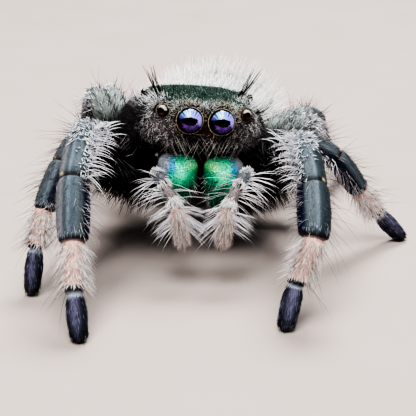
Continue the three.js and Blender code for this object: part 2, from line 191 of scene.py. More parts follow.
# ---------- the camera
def make_camera():
    """A long lens in front, a little above the face and looking down at it."""
    data = bpy.data.cameras.new("camera")
    data.sensor_width = 36
    data.lens = 111.24
    data.clip_start = 0.001
    data.clip_end = 2
    data.dof.use_dof = False
    camera = bpy.data.objects.new("camera", data)
    camera.location = (head_o + np.array([0.08, -40.16, 12.28])) * MM
    camera.rotation_euler = (math.radians(90 - 20.87), 0, 0)
    bpy.context.collection.objects.link(camera)
    bpy.context.scene.camera = camera


# ---------- meshes
def fill(layer, key, values, kind=np.float32):
    layer.foreach_set(key, np.ascontiguousarray(values, kind).ravel())


def new_mesh(name, points, faces, colours=None, uv=None, reach=None):
    """A mesh object from points in millimetres and triangles or quads. Hairs also give
    their unwrap, and how far along the hair each point is."""
    mesh = bpy.data.meshes.new(name)
    mesh.vertices.add(len(points))
    fill(mesh.vertices, "co", points * MM)
    corners = np.concatenate([np.ravel(f) for f in faces])
    sizes = np.concatenate([np.full(len(f), f.shape[1]) for f in faces])
    mesh.loops.add(len(corners))
    fill(mesh.loops, "vertex_index", corners, np.int32)
    mesh.polygons.add(len(sizes))
    fill(mesh.polygons, "loop_start", np.append(0, np.cumsum(sizes)[:-1]), np.int32)
    fill(mesh.polygons, "use_smooth", np.ones(len(sizes)), bool)
    mesh.update(calc_edges=True)
    if colours is not None:
        layer = mesh.color_attributes.new("marking", "FLOAT_COLOR", "POINT")
        fill(layer.data, "color", np.append(colours, np.ones((len(colours), 1)), axis=1))
    if uv is not None:
        fill(mesh.attributes.new("reach", "FLOAT", "POINT").data, "value", reach)
        fill(mesh.uv_layers.new(name="OFBake").data, "uv", uv[corners])
    piece = bpy.data.objects.new(name, mesh)
    bpy.context.collection.objects.link(piece)
    return piece


def dress(piece, material):
    """Gives a piece its material and its body."""
    piece.data.materials.append(material)
    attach(piece, "root")


class Skin:
    """A closed surface of rings along a path: points[row, column], with a fan over each
    end. Fields are further values on the same grid, which hairs read at their roots."""

    def __init__(self, points, **fields):
        self.points = points
        shape = points.shape[:2]
        self.fields = SimpleNamespace(
            **{key: np.broadcast_to(values, shape) for key, values in fields.items()})
        along = np.gradient(points, axis=0)
        around = (np.roll(points, -1, axis=1) - np.roll(points, 1, axis=1)) / 2
        normal = np.cross(around, along)
        outward = points - points.mean(axis=1, keepdims=True)
        self.area = np.linalg.norm(normal, axis=-1)
        self.flipped = (unit(normal) * outward).sum(-1).mean() < 0
        self.normal = unit(-normal if self.flipped else normal)
        self.along = unit(along)

    def faces(self):
        rows, columns = self.area.shape
        grid = np.arange(rows * columns).reshape(rows, columns)
        after = np.roll(grid, -1, 1)
        first = np.full(columns, rows * columns)
        quads = np.stack([grid[:-1], after[:-1], after[1:], grid[1:]], -1).reshape(-1, 4)
        start = np.stack([first, after[0], grid[0]], -1)
        end = np.stack([first + 1, grid[-1], after[-1]], -1)
        return [part if self.flipped else part[:, ::-1] for part in (quads, start, end)]

    def spread(self, field):
        """Values on the grid as one list, with the two end points added."""
        ends = [field[0].mean(0), field[-1].mean(0)]
        return np.concatenate([field.reshape(-1, *field.shape[2:]), ends])

    def build(self, name, colours, material, slot_name, *replaced):
        """Makes the piece. Colours are one hex value, or one colour for each point."""
        colours = np.broadcast_to(paint(colours), self.points.shape)
        piece = new_mesh(name, self.spread(self.points), self.faces(),
                         np.clip(self.spread(colours), 0, 1))
        dress(piece, material)
        if replaced:
            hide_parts(*replaced)

    def read(self, field, rows, columns):
        """A field of the grid at fractional rows and columns."""
        height, width = self.area.shape
        r, c = rows.astype(int), columns.astype(int)
        extra = [1] * (field.ndim - 2)
        s = (rows - r).reshape(-1, *extra)
        t = (columns - c).reshape(-1, *extra)
        near, far = (field[row, c % width] * (1 - t) + field[row, (c + 1) % width] * t
                     for row in (r, np.minimum(r + 1, height - 1)))
        return near * (1 - s) + far * s

    def roots(self, count, density, seed):
        """Hair roots spread in proportion to area and density."""
        dice = np.random.default_rng(seed)
        weight = self.area * np.clip(density, 0, None)
        weight[-1] = 0
        chosen = dice.choice(weight.size, size=count, p=weight.ravel() / weight.sum())
        row, column = np.unravel_index(chosen, weight.shape)
        return self.roots_at(row + dice.random(count), column + dice.random(count), dice)

    def roots_at(self, rows, columns, dice):
        """Hair roots at fractional rows and columns: all that is known of the skin there,
        their place on the unwrap, and their own dice."""
        height, width = self.area.shape
        given = dict(vars(self.fields), place=self.points, normal=self.normal, along=self.along)
        found = {key: self.read(field, rows, columns) for key, field in given.items()}
        found["normal"] = unit(found["normal"])
        found["along"] = unit(found["along"])
        found["uv"] = np.stack([columns / width % 1, rows / (height - 1)], -1)
        found["dice"] = dice.random((len(rows), 4)).T
        found["stray"] = dice.normal(size=(len(rows), 3))
        return SimpleNamespace(**found)


FLOOR_CLEARANCE = 0.03  # hairs that would reach lower than this are left out
ROOT_DEPTH = 0.02  # how far inside the skin a hair starts
HAIR_SPOT = (0.001, 0.0015)  # half the size of one hair's place on the unwrap


class Coat:
    """Hairs grown on a skin, and built as one mesh of tapering three-sided spikes. Each
    hair's centre line is root + length (way s + bend s^2), and its half width falls to a
    point as (1 - s) to the power 0.6."""

    def __init__(self, skin, seed=0, plenty=1.0):
        self.skin = skin
        self.seed = seed
        self.plenty = plenty
        self.hairs = []

    def grow(self, count, density, seed, length, width, lift, colours, power=1, **how):
        """Adds hairs where the density says. Length and lift are a least value and what
        dice add to it; colours are a row of hex values, picked by dice to the power
        given. Each of these can be a function of the roots instead."""
        r = self.skin.roots(int(count * self.plenty), density, self.seed + seed)
        length, lift = (way(r) if callable(way) else way[0] + way[1] * r.dice[k]
                        for k, way in ((1, length), (2, lift)))
        power = power(r) if callable(power) else power
        colour = colours(r) if callable(colours) else ramp(r.dice[0] ** power, colours)
        how = {key: value(r) if callable(value) else value for key, value in how.items()}
        self.add(r, length, width, lift, colour, **how)

    def add(self, r, length, width, lift, colour, lie=None, bend=(0, 0, 0), onward=0.0,
            crook=0.0, stray=0.2, flat=0.7):
        """Adds hairs at roots r, rising at the angle lift, in degrees, in the direction lie
        (along the skin unless given). They curve by bend, by onward along the skin and
        by crook at random."""
        lie = (r.along if lie is None else lie) + stray * r.stray
        lie = unit(lie - (lie * r.normal).sum(-1, keepdims=True) * r.normal)
        length, width, flat, lift = np.broadcast_arrays(length, width, flat, lift, r.uv[:, 0])[:4]
        angle = np.radians(lift)[:, None]
        way = lie * np.cos(angle) + r.normal * np.sin(angle)
        bend = np.array(bend) + onward * r.along + crook * unit(r.stray)
        side = unit(np.cross(way, r.normal) + 1e-6)
        tip = r.place + length[:, None] * (way + bend)
        above = (tip[:, 2] > FLOOR_CLEARANCE) & (r.place[:, 2] > FLOOR_CLEARANCE)
        colour = np.broadcast_to(colour, way.shape)
        self.hairs.append([column[above] for column in (
            r.place, way, bend, length, width, colour, r.uv, flat, side)])

    def build(self, name, material, slot_name, steps=(0.0, 0.35, 0.7)):
        """Rings of three points at the steps along each hair, closed at its tip."""
        columns = [np.concatenate(column) for column in zip(*self.hairs)]
        place, way, bend, length, width, colour, uv, flat, side = columns
        count = len(place)
        sunk = place - way * ROOT_DEPTH
        s = np.array(steps)[None, :, None]
        line = length[:, None, None] * (way[:, None] * s + bend[:, None] * s * s)
        forward = unit(way[:, None] + 2 * bend[:, None] * s)
        upward = unit(np.cross(side[:, None], forward))
        half = (width / 2)[:, None, None] * (1 - s) ** 0.6
        turn = PI / 2 + np.arange(3)[:, None] * 2 * PI / 3
        ring = (np.cos(turn) * (half * side[:, None])[:, :, None]
                + np.sin(turn) * (half * flat[:, None, None] * upward)[:, :, None])
        body = ((sunk[:, None] + line)[:, :, None] + ring).reshape(count, -1, 3)
        tip = sunk + length[:, None] * (way + bend)
        points = np.concatenate([body, tip[:, None]], axis=1)
        size = points.shape[1]
        k = np.arange(3)
        after = (k + 1) % 3
        base = np.array([[0, 2, 1]])
        band = np.stack([k, after, after + 3, k + 3], -1)
        bands = np.concatenate([band + 3 * step for step in range(len(steps) - 1)])
        top = np.stack([k, after, np.full(3, 3)], -1) + size - 4
        shift = (np.arange(count) * size)[:, None, None]
        faces = [(shift + part).reshape(-1, part.shape[1]) for part in (base, bands, top)]
        reach = np.append(np.repeat(steps, 3), 1.0)
        own = np.stack([np.arange(size) % 3 - 1, 2 * reach - 1], -1) * HAIR_SPOT
        spots = (uv[:, None] * 0.992 + 0.004 + own).reshape(-1, 2)
        colours = np.repeat(np.clip(colour, 0, 1), size, axis=0)
        piece = new_mesh(name, points.reshape(-1, 3), faces, colours, spots, np.tile(reach, count))
        dress(piece, material)


# ---------- materials
def node(tree, kind, settings=None, links=None):
    """Adds a node, sets its properties and inputs, and links it to (node, output) pairs."""
    made = tree.nodes.new(kind)
    for key, value in (settings or {}).items():
        if isinstance(key, str) and hasattr(made, key):
            setattr(made, key, value)
        else:
            made.inputs[key].default_value = value
    for key, (source, output) in (links or {}).items():
        tree.links.new(source.outputs[output], made.inputs[key])
    return made


def begin(name, settings):
    """A material with a Principled shader, and its tree, shader and coordinates."""
    material = bpy.data.materials.new(name)
    material.use_nodes = True
    tree = material.node_tree
    tree.nodes.clear()
    shader = node(tree, "ShaderNodeBsdfPrincipled", settings)
    node(tree, "ShaderNodeOutputMaterial", links={"Surface": (shader, "BSDF")})
    return material, tree, shader, node(tree, "ShaderNodeTexCoord")


def finish(name, settings, grain_mm, strength, relief=None, hair=False):
    """A material in the piece's marking, made lighter and darker by noise. Relief is a
    texture, its size and depth in millimetres, and its strength. Hair has a dark root."""
    material, tree, shader, place = begin(name, settings)
    on_piece = {"Vector": (place, "Object")}
    noise = node(tree, "ShaderNodeTexNoise", {
        "Scale": 1 / (grain_mm * MM), "Detail": 2.0 if hair else 3.0}, on_piece)
    factor = node(tree, "ShaderNodeMapRange", {
        "From Min": 0.3, "From Max": 0.7, "To Min": 1 - strength, "To Max": 1 + strength
    }, {"Value": (noise, "Fac")})
    if hair:
        reach = node(tree, "ShaderNodeAttribute", {"attribute_name": "reach"})
        tone = node(tree, "ShaderNodeMapRange", {"To Min": 0.72, "To Max": 1.05},
                    {"Value": (reach, "Fac")})
        factor = node(tree, "ShaderNodeMath", {"operation": "MULTIPLY"},
                      {0: (tone, 0), 1: (factor, 0)})
    marking = node(tree, "ShaderNodeVertexColor", {"layer_name": "marking"})
    varied = node(tree, "ShaderNodeVectorMath", {"operation": "SCALE"},
                  {0: (marking, "Color"), "Scale": (factor, 0)})
    tree.links.new(varied.outputs["Vector"], shader.inputs["Base Color"])
    if relief:
        kind, size_mm, depth_mm, weight = relief
        texture = node(tree, f"ShaderNodeTex{kind}", {"Scale": 1 / (size_mm * MM)}, on_piece)
        raised = node(tree, "ShaderNodeBump", {"Distance": depth_mm * MM, "Strength": weight},
                      {"Height": (texture, 0)})
        tree.links.new(raised.outputs["Normal"], shader.inputs["Normal"])
    return material


# Spider cuticle: hard, a little waxy, with fine wrinkles and pits between the hairs.
CUTICLE = finish("cuticle, waxy and finely wrinkled", {
    "Roughness": 0.45, "IOR": 1.56, "Specular IOR Level": 0.18},
    0.09, 0.25, ("Voronoi", 0.05, 0.012, 0.7))
# Cuticle under short hair that lies flat: soft fine streaks.
VELVET = finish("cuticle under flat velvet hair", {
    "Roughness": 0.55, "IOR": 1.5, "Specular IOR Level": 0.16},
    0.035, 0.35, ("Noise", 0.03, 0.02, 0.8))
# Jaw cuticle covered in thin-film scales: metallic green, pitted between the scales.
JAW = finish("iridescent jaw cuticle", {
    "Roughness": 0.42, "Metallic": 0.3, "IOR": 1.5, "Coat Weight": 0.1, "Coat Roughness": 0.3},
    0.035, 0.6, ("Voronoi", 0.055, 0.035, 1.0))
# A clear, polished lens over a dark retina: the pattern, with its painted reflection of the sky,
# lies under a glossy coat.
LENS = finish("polished eye lens", {
    "Roughness": 0.2, "Specular IOR Level": 0.05, "Coat Weight": 0.75,
    "Coat Roughness": 0.02, "Coat IOR": 1.3}, 0.06, 0.08)
# Fang: smooth dark brown horn, polished by use.
HORN = finish("polished dark horn", {
    "Roughness": 0.22, "IOR": 1.55, "Coat Weight": 0.4, "Coat Roughness": 0.1}, 0.1, 0.3)
# Hair in three kinds: soft and pale, stiff and dark, and flat scales that glint.
FINE_HAIR, BRISTLE, SCALE = (
    finish(name, {"Roughness": roughness, "IOR": 1.55, "Specular IOR Level": gloss},
           0.12, strength, hair=True)
    for name, roughness, gloss, strength in (
        ("fine pale body hair", 0.5, 0.22, 0.12), ("stiff dark bristle", 0.35, 0.2, 0.12),
        ("glinting flat scale hair", 0.45, 0.12, 0.2)))


def floor_sheet():
    """Matt pale paper, a little uneven in tone."""
    material, tree, shader, place = begin("matt pale paper", {"Roughness": 0.9, "IOR": 1.4})
    noise = node(tree, "ShaderNodeTexNoise", {"Scale": 1 / (4 * MM), "Detail": 4.0},
                 {"Vector": (place, "Object")})
    tone = node(tree, "ShaderNodeMix", {"data_type": "RGBA", 6: (*linear("#9b8f8a"), 1),
                7: (*linear("#a39792"), 1)}, {"Factor": (noise, "Fac")})
    tree.links.new(tone.outputs[2], shader.inputs["Base Color"])
    return material


# ---------- carapace and face
# Cross-sections from the face back: y, half width, top, bottom, in the head's axes.
CARAPACE = [
    [-0.12, 0.05, -0.32, -0.4], [-0.11, 0.7, 0.2, -0.87], [-0.03, 1.2, 0.38, -0.99],
    [0.14, 1.55, 0.5, -1.11], [0.4, 1.82, 0.58, -1.24], [0.9, 2.02, 0.65, -1.42],
    [1.6, 2.18, 0.7, -1.54], [2.4, 2.34, 0.7, -1.64], [3.2, 2.44, 0.61, -1.68],
    [4.0, 2.41, 0.29, -1.68], [4.8, 2.15, -0.31, -1.68], [5.4, 1.7, -0.88, -1.68],
    [5.8, 1.15, -1.24, -1.68], [5.97, 0.55, -1.4, -1.66],
]


def body_rings(y, half, top, bottom, columns, power, taper=0, tuck=0):
    """Superellipse rings over y: x = w |cos|^(2/power), z = m + h |sin|^(2/power), with x
    drawn in by the share taper at the top and tuck below."""
    angle = circle(columns)
    x, z = (np.sign(c) * np.abs(c) ** (2 / power) for c in (np.cos(angle), np.sin(angle)))
    x = half[:, None] * (x * (1 - np.where(z > 0, taper, tuck) * np.abs(z)))[None]
    z = ((top + bottom) / 2)[:, None] + ((top - bottom) / 2)[:, None] * z[None]
    return np.stack([x, np.broadcast_to(y[:, None], x.shape), z], -1)


def carapace_skin():
    """Rings over y. Round each eye the surface is moved along the eye's view to a low
    collar, and behind the eyeball it is pushed in."""
    row = np.interp(np.linspace(0, 1, 210), [0, 0.36, 1], [0, 4.2, len(CARAPACE) - 1])
    local = body_rings(*through(CARAPACE, row).T, 340, 2.9, 0.17, 0.07)
    local[..., 1] += 0.05 * bump(0, 0.28, local[..., 0]) * bump(-0.55, 0.35, local[..., 2])
    clear = np.ones(local.shape[:2])
    for place, radius, look, _, _ in EYES.values():
        for _, side in SIDES:
            view = unit(mirror(look, side))
            away = local - mirror(place, side)
            height = away @ view
            rim = np.linalg.norm(away - height[..., None] * view, axis=-1) / radius
            near = (1 - smooth(1.15, 1.5 + 0.12 / radius, rim)) * (height > -0.9)
            level = radius * (0.7 * smooth(0.8, 1.04, rim) - 0.55)
            local += (near * (level - height))[..., None] * view
            clear *= np.where(height > -0.9, smooth(1.02, 1.12, rim), 1)
    x, y, z = np.moveaxis(local, -1, 0)
    return Skin(from_head(local), x=x, y=y, z=z, clear=clear)


def carapace_marking(f):
    """Brown-black cuticle, red-brown between and below the front eyes, mauve-grey cheeks
    and a dark green cap over the top of the head."""
    front = 1 - smooth(0.8, 1.6, f.y)
    cheek = front * smooth(0.7, 1.3, np.abs(f.x)) * bump(-0.5, 0.5, f.z)
    cap = smooth(0.4, 0.55, f.z) * span(0.25, 0.5, 3.2, 4.2, f.y)
    return paint("#100d0e", ("#5a4c53", cheek * 0.8),
                 ("#2e1413", front * bump(0.0, 0.3, f.x) * bump(-0.35, 0.32, f.z)),
                 ("#071814", cap), ("#17161a", smooth(2.6, 3.6, f.y)))


def sideways(amount, upward):
    """Directions across and up the face, from amounts at each root."""
    return amount[:, None] * HEAD[0] + np.reshape(upward, (-1, 1)) * HEAD[2]


def swirl(r):
    """Directions for hairs on the face: down and outwards, and round the front eyes."""
    lie = sideways(0.6 * np.sign(r.x), -1.0)
    for place, level, reach in ((0.525, 0.0, 0.62), (1.36, 0.19, 0.42)):
        across, rise = np.abs(r.x) - place, r.z - level
        near = bump(reach, 0.22, np.hypot(across, rise))[:, None]
        lie = lie - 2.5 * near * unit(sideways(-rise * np.sign(r.x), across))
    return lie


def crossing(r):
    """Directions for the long hairs of the clypeus: down, and most of them inwards."""
    slant = np.where(r.dice[3] < 0.8, 0.35 + 0.6 * r.dice[3], -0.6)
    return sideways(-np.sign(r.x) * slant, -1.0)


def cap_colours(r):
    paler = 0.5 * bump(0.2, 0.15, r.y) * (r.dice[3] > 0.6)
    return paint(ramp(r.dice[0] ** 1.8, "#040c0a #10241f #2c4a40 #84a596"), ("#a0aca0", paler))


def flank_colours(r):
    band = smooth(-0.15, 0.25, r.z) * (1 - 0.75 * smooth(3.2, 4.4, r.y))
    return blend(ramp(r.dice[2], "#0e0d10 #2e2c31"), ramp(r.dice[1], "#b5b8ba #ffffff"),
                 band * smooth(0.1, 0.35, r.dice[0]))


def grow_carapace_coat(skin):
    """Green scales on the cap; on the face dark short hairs, pale crooked scales on brow
    and cheeks, rays round the large eyes and long crossing hairs on the clypeus; along
    the sides a coat that is white above and dark below."""
    x, y, z, clear = skin.fields.x, skin.fields.y, skin.fields.z, skin.fields.clear
    wide = np.abs(x)
    front = 1 - smooth(0.9, 1.6, y)
    face_only = clear * front

    cap = Coat(skin)
    cap.grow(9500, clear * smooth(0.44, 0.56, z) * span(0.12, 0.3, 3.4, 4.4, y), 1,
             (0.1, 0.05), 0.03, (14, 26), cap_colours, lie=HEAD[1], stray=0.3, flat=0.35)
    cap.grow(700, clear * bump(0.52, 0.12, z) * span(0.1, 0.4, 3.2, 4.0, y), 8, (0.12, 0.12),
             0.016, (35, 40), "#050807 #1d2d28 #8a9a90", 2, lie=-HEAD[1], stray=0.4)
    cap.build("head_cap_scales", SCALE, "shell", (0.0, 0.5))

    face = Coat(skin)
    face.grow(3000, face_only * smooth(0.5, 0.36, z), 2, (0.07, 0.07), 0.022, (10, 25),
              "#080708 #1e1a1c #4c4646", 2, lie=swirl, stray=0.5)
    face.grow(420, face_only * smooth(0.55, 0.45, z), 9, (0.18, 0.16), 0.024, (20, 25),
              "#070606", lie=swirl, crook=0.35, stray=0.5)
    brow = bump(0.42, 0.14, z) + smooth(1.0, 1.3, wide) * smooth(-0.1, 0.25, z)
    face.grow(1100, face_only * brow * (1 - 0.8 * smooth(0.3, 0.5, y)), 3, (0.09, 0.09), 0.018,
              (12, 30), "#1d2220 #68736c #c8d0c8 #ffffff", lie=HEAD[2] * 0.4, crook=0.35,
              stray=0.9, flat=0.5)
    cheek = smooth(0.5, 1.0, wide) * smooth(0.35, 0.1, z) + 0.1 * (z < -0.3)
    face.grow(2100, face_only * cheek * (1 - 0.75 * smooth(-0.75, -0.95, z)), 4, (0.08, 0.08),
              0.0135, (10, 30), "#241f20 #756c6c #cfc9c6 #ffffff",
              lambda r: 1.4 - 0.85 * smooth(1.1, 1.6, np.abs(r.x)), lie=swirl, crook=0.5, stray=0.7)
    ring = bump(0.53, 0.06, np.hypot(wide - 0.525, z)) * (z > -0.5)
    face.grow(400, face_only * ring * (1 - bump(0, 0.3, x) * bump(-0.3, 0.3, z)), 6,
              (0.09, 0.06), 0.018, (15, 30), "#1d1614 #7d6c55 #e8dcc0", stray=0.25,
              lie=lambda r: unit(sideways(r.x - 0.525 * np.sign(r.x), r.z)))
    clypeus = front * bump(-0.62, 0.16, z) * smooth(1.5, 1.2, wide)
    face.grow(76, clypeus * (1.2 - 0.5 * bump(0, 0.2, x)), 7, (0.5, 0.4), 0.0115, (12, 12),
              "#4c4442 #a39a94 #ebe6e0", lie=crossing, bend=-0.06 * HEAD[2], stray=0.06)
    face.build("face_hairs", FINE_HAIR, "shell")

    flank = Coat(skin)
    beside = smooth(0.5, 1.2, y) * (1 - smooth(0.45, 0.6, z) * smooth(4.2, 3.2, y))
    flank.grow(9000, clear * beside * (0.4 + 0.6 * smooth(-1.0, -0.4, z)), 5, (0.18, 0.14), 0.024,
               (12, 20), flank_colours, lie=HEAD[1] - 0.35 * HEAD[2], stray=0.22)
    flank.build("carapace_side_hairs", FINE_HAIR, "shell")


BRISTLES = (
    # middle, spread, count, direction, length, width, bend and lift in degrees, in the
    # head's axes: the tufts on the brow, then single bristles beside the cheeks
    ((1.42, 1.7, 0.62), 0.05, 9, (0.45, -0.25, 0.85), 1.25, 0.05, (-0.04, 0, 0.14), 84),
    ((1.9, 1.1, 0.3), 0.2, 14, (1.0, -0.15, -0.15), 1.1, 0.034, (-0.3, 0, 0.7), 70),
    ((2.0, 1.4, -0.1), 0.25, 8, (1.0, -0.2, -0.1), 0.9, 0.03, (-0.2, 0, 0.6), 70),
)


def grow_bristles(skin):
    coat = Coat(skin)
    places = np.stack([skin.fields.x, skin.fields.y, skin.fields.z], -1)
    for number, (middle, spread, count, way, length, width, curl, lift) in enumerate(BRISTLES):
        for _, side in SIDES:
            away = places - mirror(middle, side)
            near = np.exp(-(away ** 2).sum(-1) / spread ** 2)
            r = skin.roots(count, near, 60 + number * 2 + (side > 0))
            r.normal = np.broadcast_to(unit(unit(mirror(way, side)) @ HEAD), r.place.shape)
            coat.add(r, length * (0.65 + 0.35 * r.dice[0]), width, lift, linear("#0b0a0d"),
                     lie=r.stray, bend=mirror(curl, side) @ HEAD + 0.04 * r.stray, stray=0.0)
    coat.build("brow_bristles", BRISTLE, "shell", (0.0, 0.3, 0.6, 0.85))


# ---------- eyes
def eye_marking(name, p):
    """Colours under the lens, by place p on a ball of radius one that looks along -y:
    a black pupil, a bright crescent above and outside it that is a painted reflection of
    the sky, and violet below."""
    x, _, z = np.moveaxis(p, -1, 0)
    rho = np.hypot(x, z)
    turn = np.arctan2(z - 0.02, x)
    streak = np.sin(turn * 23 + 1.1 * np.sin(turn * 9)) + 0.5 * np.sin(turn * 47 + 2)
    if name == "eye_small_side":
        return paint("#06040b", ("#160e0c", bump(0.7, 0.2, rho)))
    if name != "eye_front_middle":
        pupil = np.hypot((x + 0.12) / 0.52, z / 0.45)
        # The pale crescent above the pupil of these eyes is a painted reflection.
        top = span(-0.1, 0.4, 2.2, 2.8, turn) * smooth(1, 1.15, pupil)
        top = top * (1 - 0.6 * smooth(0.2, -0.7, streak)) * smooth(0.86, 0.76, rho)
        return paint("#06040b", ("#cfc8ba", 0.85 * top),
                     ("#70463a", 0.8 * bump(-0.48, 0.16, z) * bump(0, 0.4, x)),
                     ("#64443a", 0.7 * bump(0.86, 0.08, rho) * (x < 0.3)))
    ragged = 0.08 * np.sin(turn * 9 + 1) * np.sin(turn * 4) + 0.05 * np.sin(turn * 19)
    pupil = np.hypot((x + 0.06) / 0.57, (z - 0.05) / 0.3) + ragged
    # The bright bow round the pupil, with its pale spots and dark streaks, is a painted reflection
    # of the sky.
    dark = smooth(0.5, -0.9, streak) * smooth(0.5, 0.8, turn) * smooth(0.4, 0.7, rho)
    reflection_bow = span(-0.55, -0.35, 2.85, 3.05, turn) * smooth(1.0, 1.07, pupil)
    reflection_bow = reflection_bow * smooth(0.9, 0.86, rho) * (1 - 0.8 * dark) * (1 - 0.45 * smooth(2.1, 2.8, turn))
    painted_sky_reflection = paint("#9a8be0", ("#829aee", smooth(0.4, 1.3, turn)), ("#86c2f4", smooth(1.4, 2.1, turn)),
                ("#d5efff", 0.8 * bump(1.9, 0.35, turn) * bump(0.62, 0.16, rho)),
                ("#cfc4ff", 0.6 * bump(0.0, 0.3, turn) * bump(0.7, 0.12, rho)),
                ("#6f68c4", smooth(2.1, 2.9, turn)))
    wedge = np.abs(x - 0.02) - 0.82 * np.sqrt(np.maximum(z + 0.84, 0)) + ragged
    low = smooth(0.08, -0.08, wedge) * smooth(0.95, 1.1, pupil)
    low = low * smooth(-0.06, -0.2, z) * smooth(0.9, 0.8, rho)
    mottle = 0.5 + 0.5 * np.sin(x * 19 + 2 * np.sin(z * 17)) * np.sin(z * 29 + x * 7)
    violet = paint("#74479c", ("#361b52", smooth(-0.3, -0.8, z)))
    return blend(blend(linear("#06040b"), painted_sky_reflection, reflection_bow), violet * (0.25 + 1.1 * mottle[..., None]), low)


def build_eyes():
    """Each eye is a ball of rings round its view: sin(a) cos(b) right + cos(a) view
    + sin(a) sin(b) up, where right is towards +X for eyes that look ahead."""
    down = (np.linspace(0.03, 0.98, 80) * PI)[:, None]
    turn = circle(96)[None]
    ball = np.stack([np.sin(down) * np.cos(turn), -np.cos(down) + 0 * turn,
                     np.sin(down) * np.sin(turn)], -1)
    for name, (place, radius, look, colour, thick) in EYES.items():
        for word, side in SIDES:
            view = unit(mirror(look, side))
            right = unit(np.cross(view, [0, 0, -1.0]))
            up = np.cross(view, right)
            body = ball @ np.array([right, -view, up])
            middle = mirror(place, side)
            skin = Skin(from_head(middle + body * radius * LENS_SHARE))
            skin.build(f"lens_{name}_{word}", eye_marking(name, ball), LENS, "lens",
                       f"{name}_{word}")
            if colour:
                rim = f"rim_{name}_{word}"
                build_rim(rim, middle, radius, view, right, up, linear(colour), thick)


def build_rim(name, middle, radius, view, right, up, colour, thick):
    """A ring of skin round a lens: a thin tube round the circle where the lens leaves the
    collar, uneven in thickness and tone."""
    rows, columns = 120, 12
    turn = circle(rows)[:, None]
    cross = circle(columns)[None]
    thick = thick * (1 + 0.3 * np.sin(turn * 17) * np.sin(turn * 7 + 1))
    out = (radius * LENS_SHARE + 0.004 + thick * np.cos(cross))[..., None]
    wheel = np.cos(turn)[..., None] * right + np.sin(turn)[..., None] * up
    lift = (0.16 * radius + thick * np.sin(cross))[..., None]
    grid = np.arange(rows * columns).reshape(rows, columns)
    ahead = np.roll(grid, -1, 0)
    quads = np.stack([grid, ahead, np.roll(ahead, -1, 1), np.roll(grid, -1, 1)], -1)
    tones = np.repeat(0.4 + 0.8 * rng.random((rows, 1)) ** 1.5, columns, axis=0)
    points = from_head(middle + out * wheel + lift * view).reshape(-1, 3)
    ring = new_mesh(name, points, [quads.reshape(-1, 4)], colour * tones)
    dress(ring, CUTICLE)


# ---------- limbs
def limb_path(joints, reach, count):
    """A path through the joints: straight spans with corners rounded by a quadratic
    curve. Returns its points, q, which counts the joints passed, and the length left."""
    spans = np.diff(joints, axis=0)
    lengths = np.linalg.norm(spans, axis=1)
    ways = unit(spans)
    stops = np.append(0, np.cumsum(lengths))
    along = np.linspace(0, stops[-1], count)
    k = np.clip(np.searchsorted(stops, along, side="right") - 1, 0, len(spans) - 1)
    share = (along - stops[k]) / lengths[k]
    points = joints[k] + share[:, None] * spans[k]
    for j in range(1, len(spans)):
        r = min(reach, 0.42 * lengths[j - 1], 0.42 * lengths[j])
        u = ((along - stops[j] + r) / (2 * r))[:, None]
        curve = ((1 - u) ** 2 * (joints[j] - r * ways[j - 1]) + 2 * u * (1 - u) * joints[j]
                 + u ** 2 * (joints[j] + r * ways[j]))
        points = np.where((u > 0) & (u < 1), curve, points)
    return points, k + share, stops[-1] - along


def limb_skin(points, front_way, side, radius, flat, columns, turn=0, **fields):
    """Oval rings square to the path, from the back of the limb to its front side; turn, in
    degrees, moves the markings round. Inside a bend a ring stops short of its centre."""
    tangent = unit(np.gradient(points, axis=0))
    step = np.linalg.norm(np.gradient(points, axis=0), axis=1)[:, None]
    curving = np.gradient(tangent, axis=0) / step
    inner = unit(curving)
    front = unit(front_way - (tangent @ front_way)[:, None] * tangent)
    back = side * np.cross(front, tangent)
    angle = circle(columns)
    c, s = np.cos(angle)[None, :, None], np.sin(angle)[None, :, None]
    offset = radius[:, None, None] * (c * back[:, None] + flat * s * front[:, None])
    inward = (offset * inner[:, None]).sum(-1)
    room = 0.85 / np.maximum(np.linalg.norm(curving, axis=1), 0.3)[:, None]
    offset -= np.maximum(inward - room, 0)[..., None] * inner[:, None]
    marked = angle - math.radians(turn)
    return Skin(points[:, None] + offset, top=np.cos(marked)[None], front=np.sin(marked)[None],
                **{key: values[:, None] for key, values in fields.items()})


SEGMENTS = ("femur", "patella", "tibia", "metatarsus", "tarsus")
HIPS = [(2.0, 1.8, -2.36), (2.25, 2.86, -2.42), (2.2, 3.9, -2.42), (1.85, 4.92, -2.4)]
COXA_START = 1.05  # from the middle of the body to where a leg begins
COAT_DEPTH = 0.03  # of the short hair between the skin and a leg's outline
LEG_FLATNESS = 0.97  # width of a leg as a share of its depth
LEG_RADII = [
    # coxa, femur, patella, tibia, metatarsus, tarsus of each pair
    (0.45, 0.57, 0.55, 0.56, 0.36, 0.36),
    (0.43, 0.46, 0.43, 0.43, 0.33, 0.33),
    (0.43, 0.43, 0.38, 0.36, 0.28, 0.27),
    (0.44, 0.47, 0.4, 0.38, 0.28, 0.27),
]
PATELLA_REACH = {"leg_1_right": 0.2, "leg_1_left": 0.3}  # along the shin, past the joint
# Share of each segment's full radius along it, from coxa to tarsus.
LEG_SHAPE = (
    [[0, 0.9], [0.5, 1.0], [1, 0.96]],
    [[0, 0.8], [0.17, 0.78], [0.34, 0.9], [0.6, 1.0], [0.85, 0.94], [1, 0.8]],
    [[0, 0.82], [0.2, 0.94], [0.55, 0.97], [0.85, 0.94], [1, 0.88]],
    [[0, 0.88], [0.12, 0.96], [0.5, 1.0], [0.85, 0.93], [1, 0.84]],
    [[0, 0.98], [0.2, 1.0], [0.7, 0.93], [1, 0.92]],
    [[0, 0.72], [0.15, 0.86], [0.4, 0.95], [0.75, 0.84], [1, 0.5]],
)


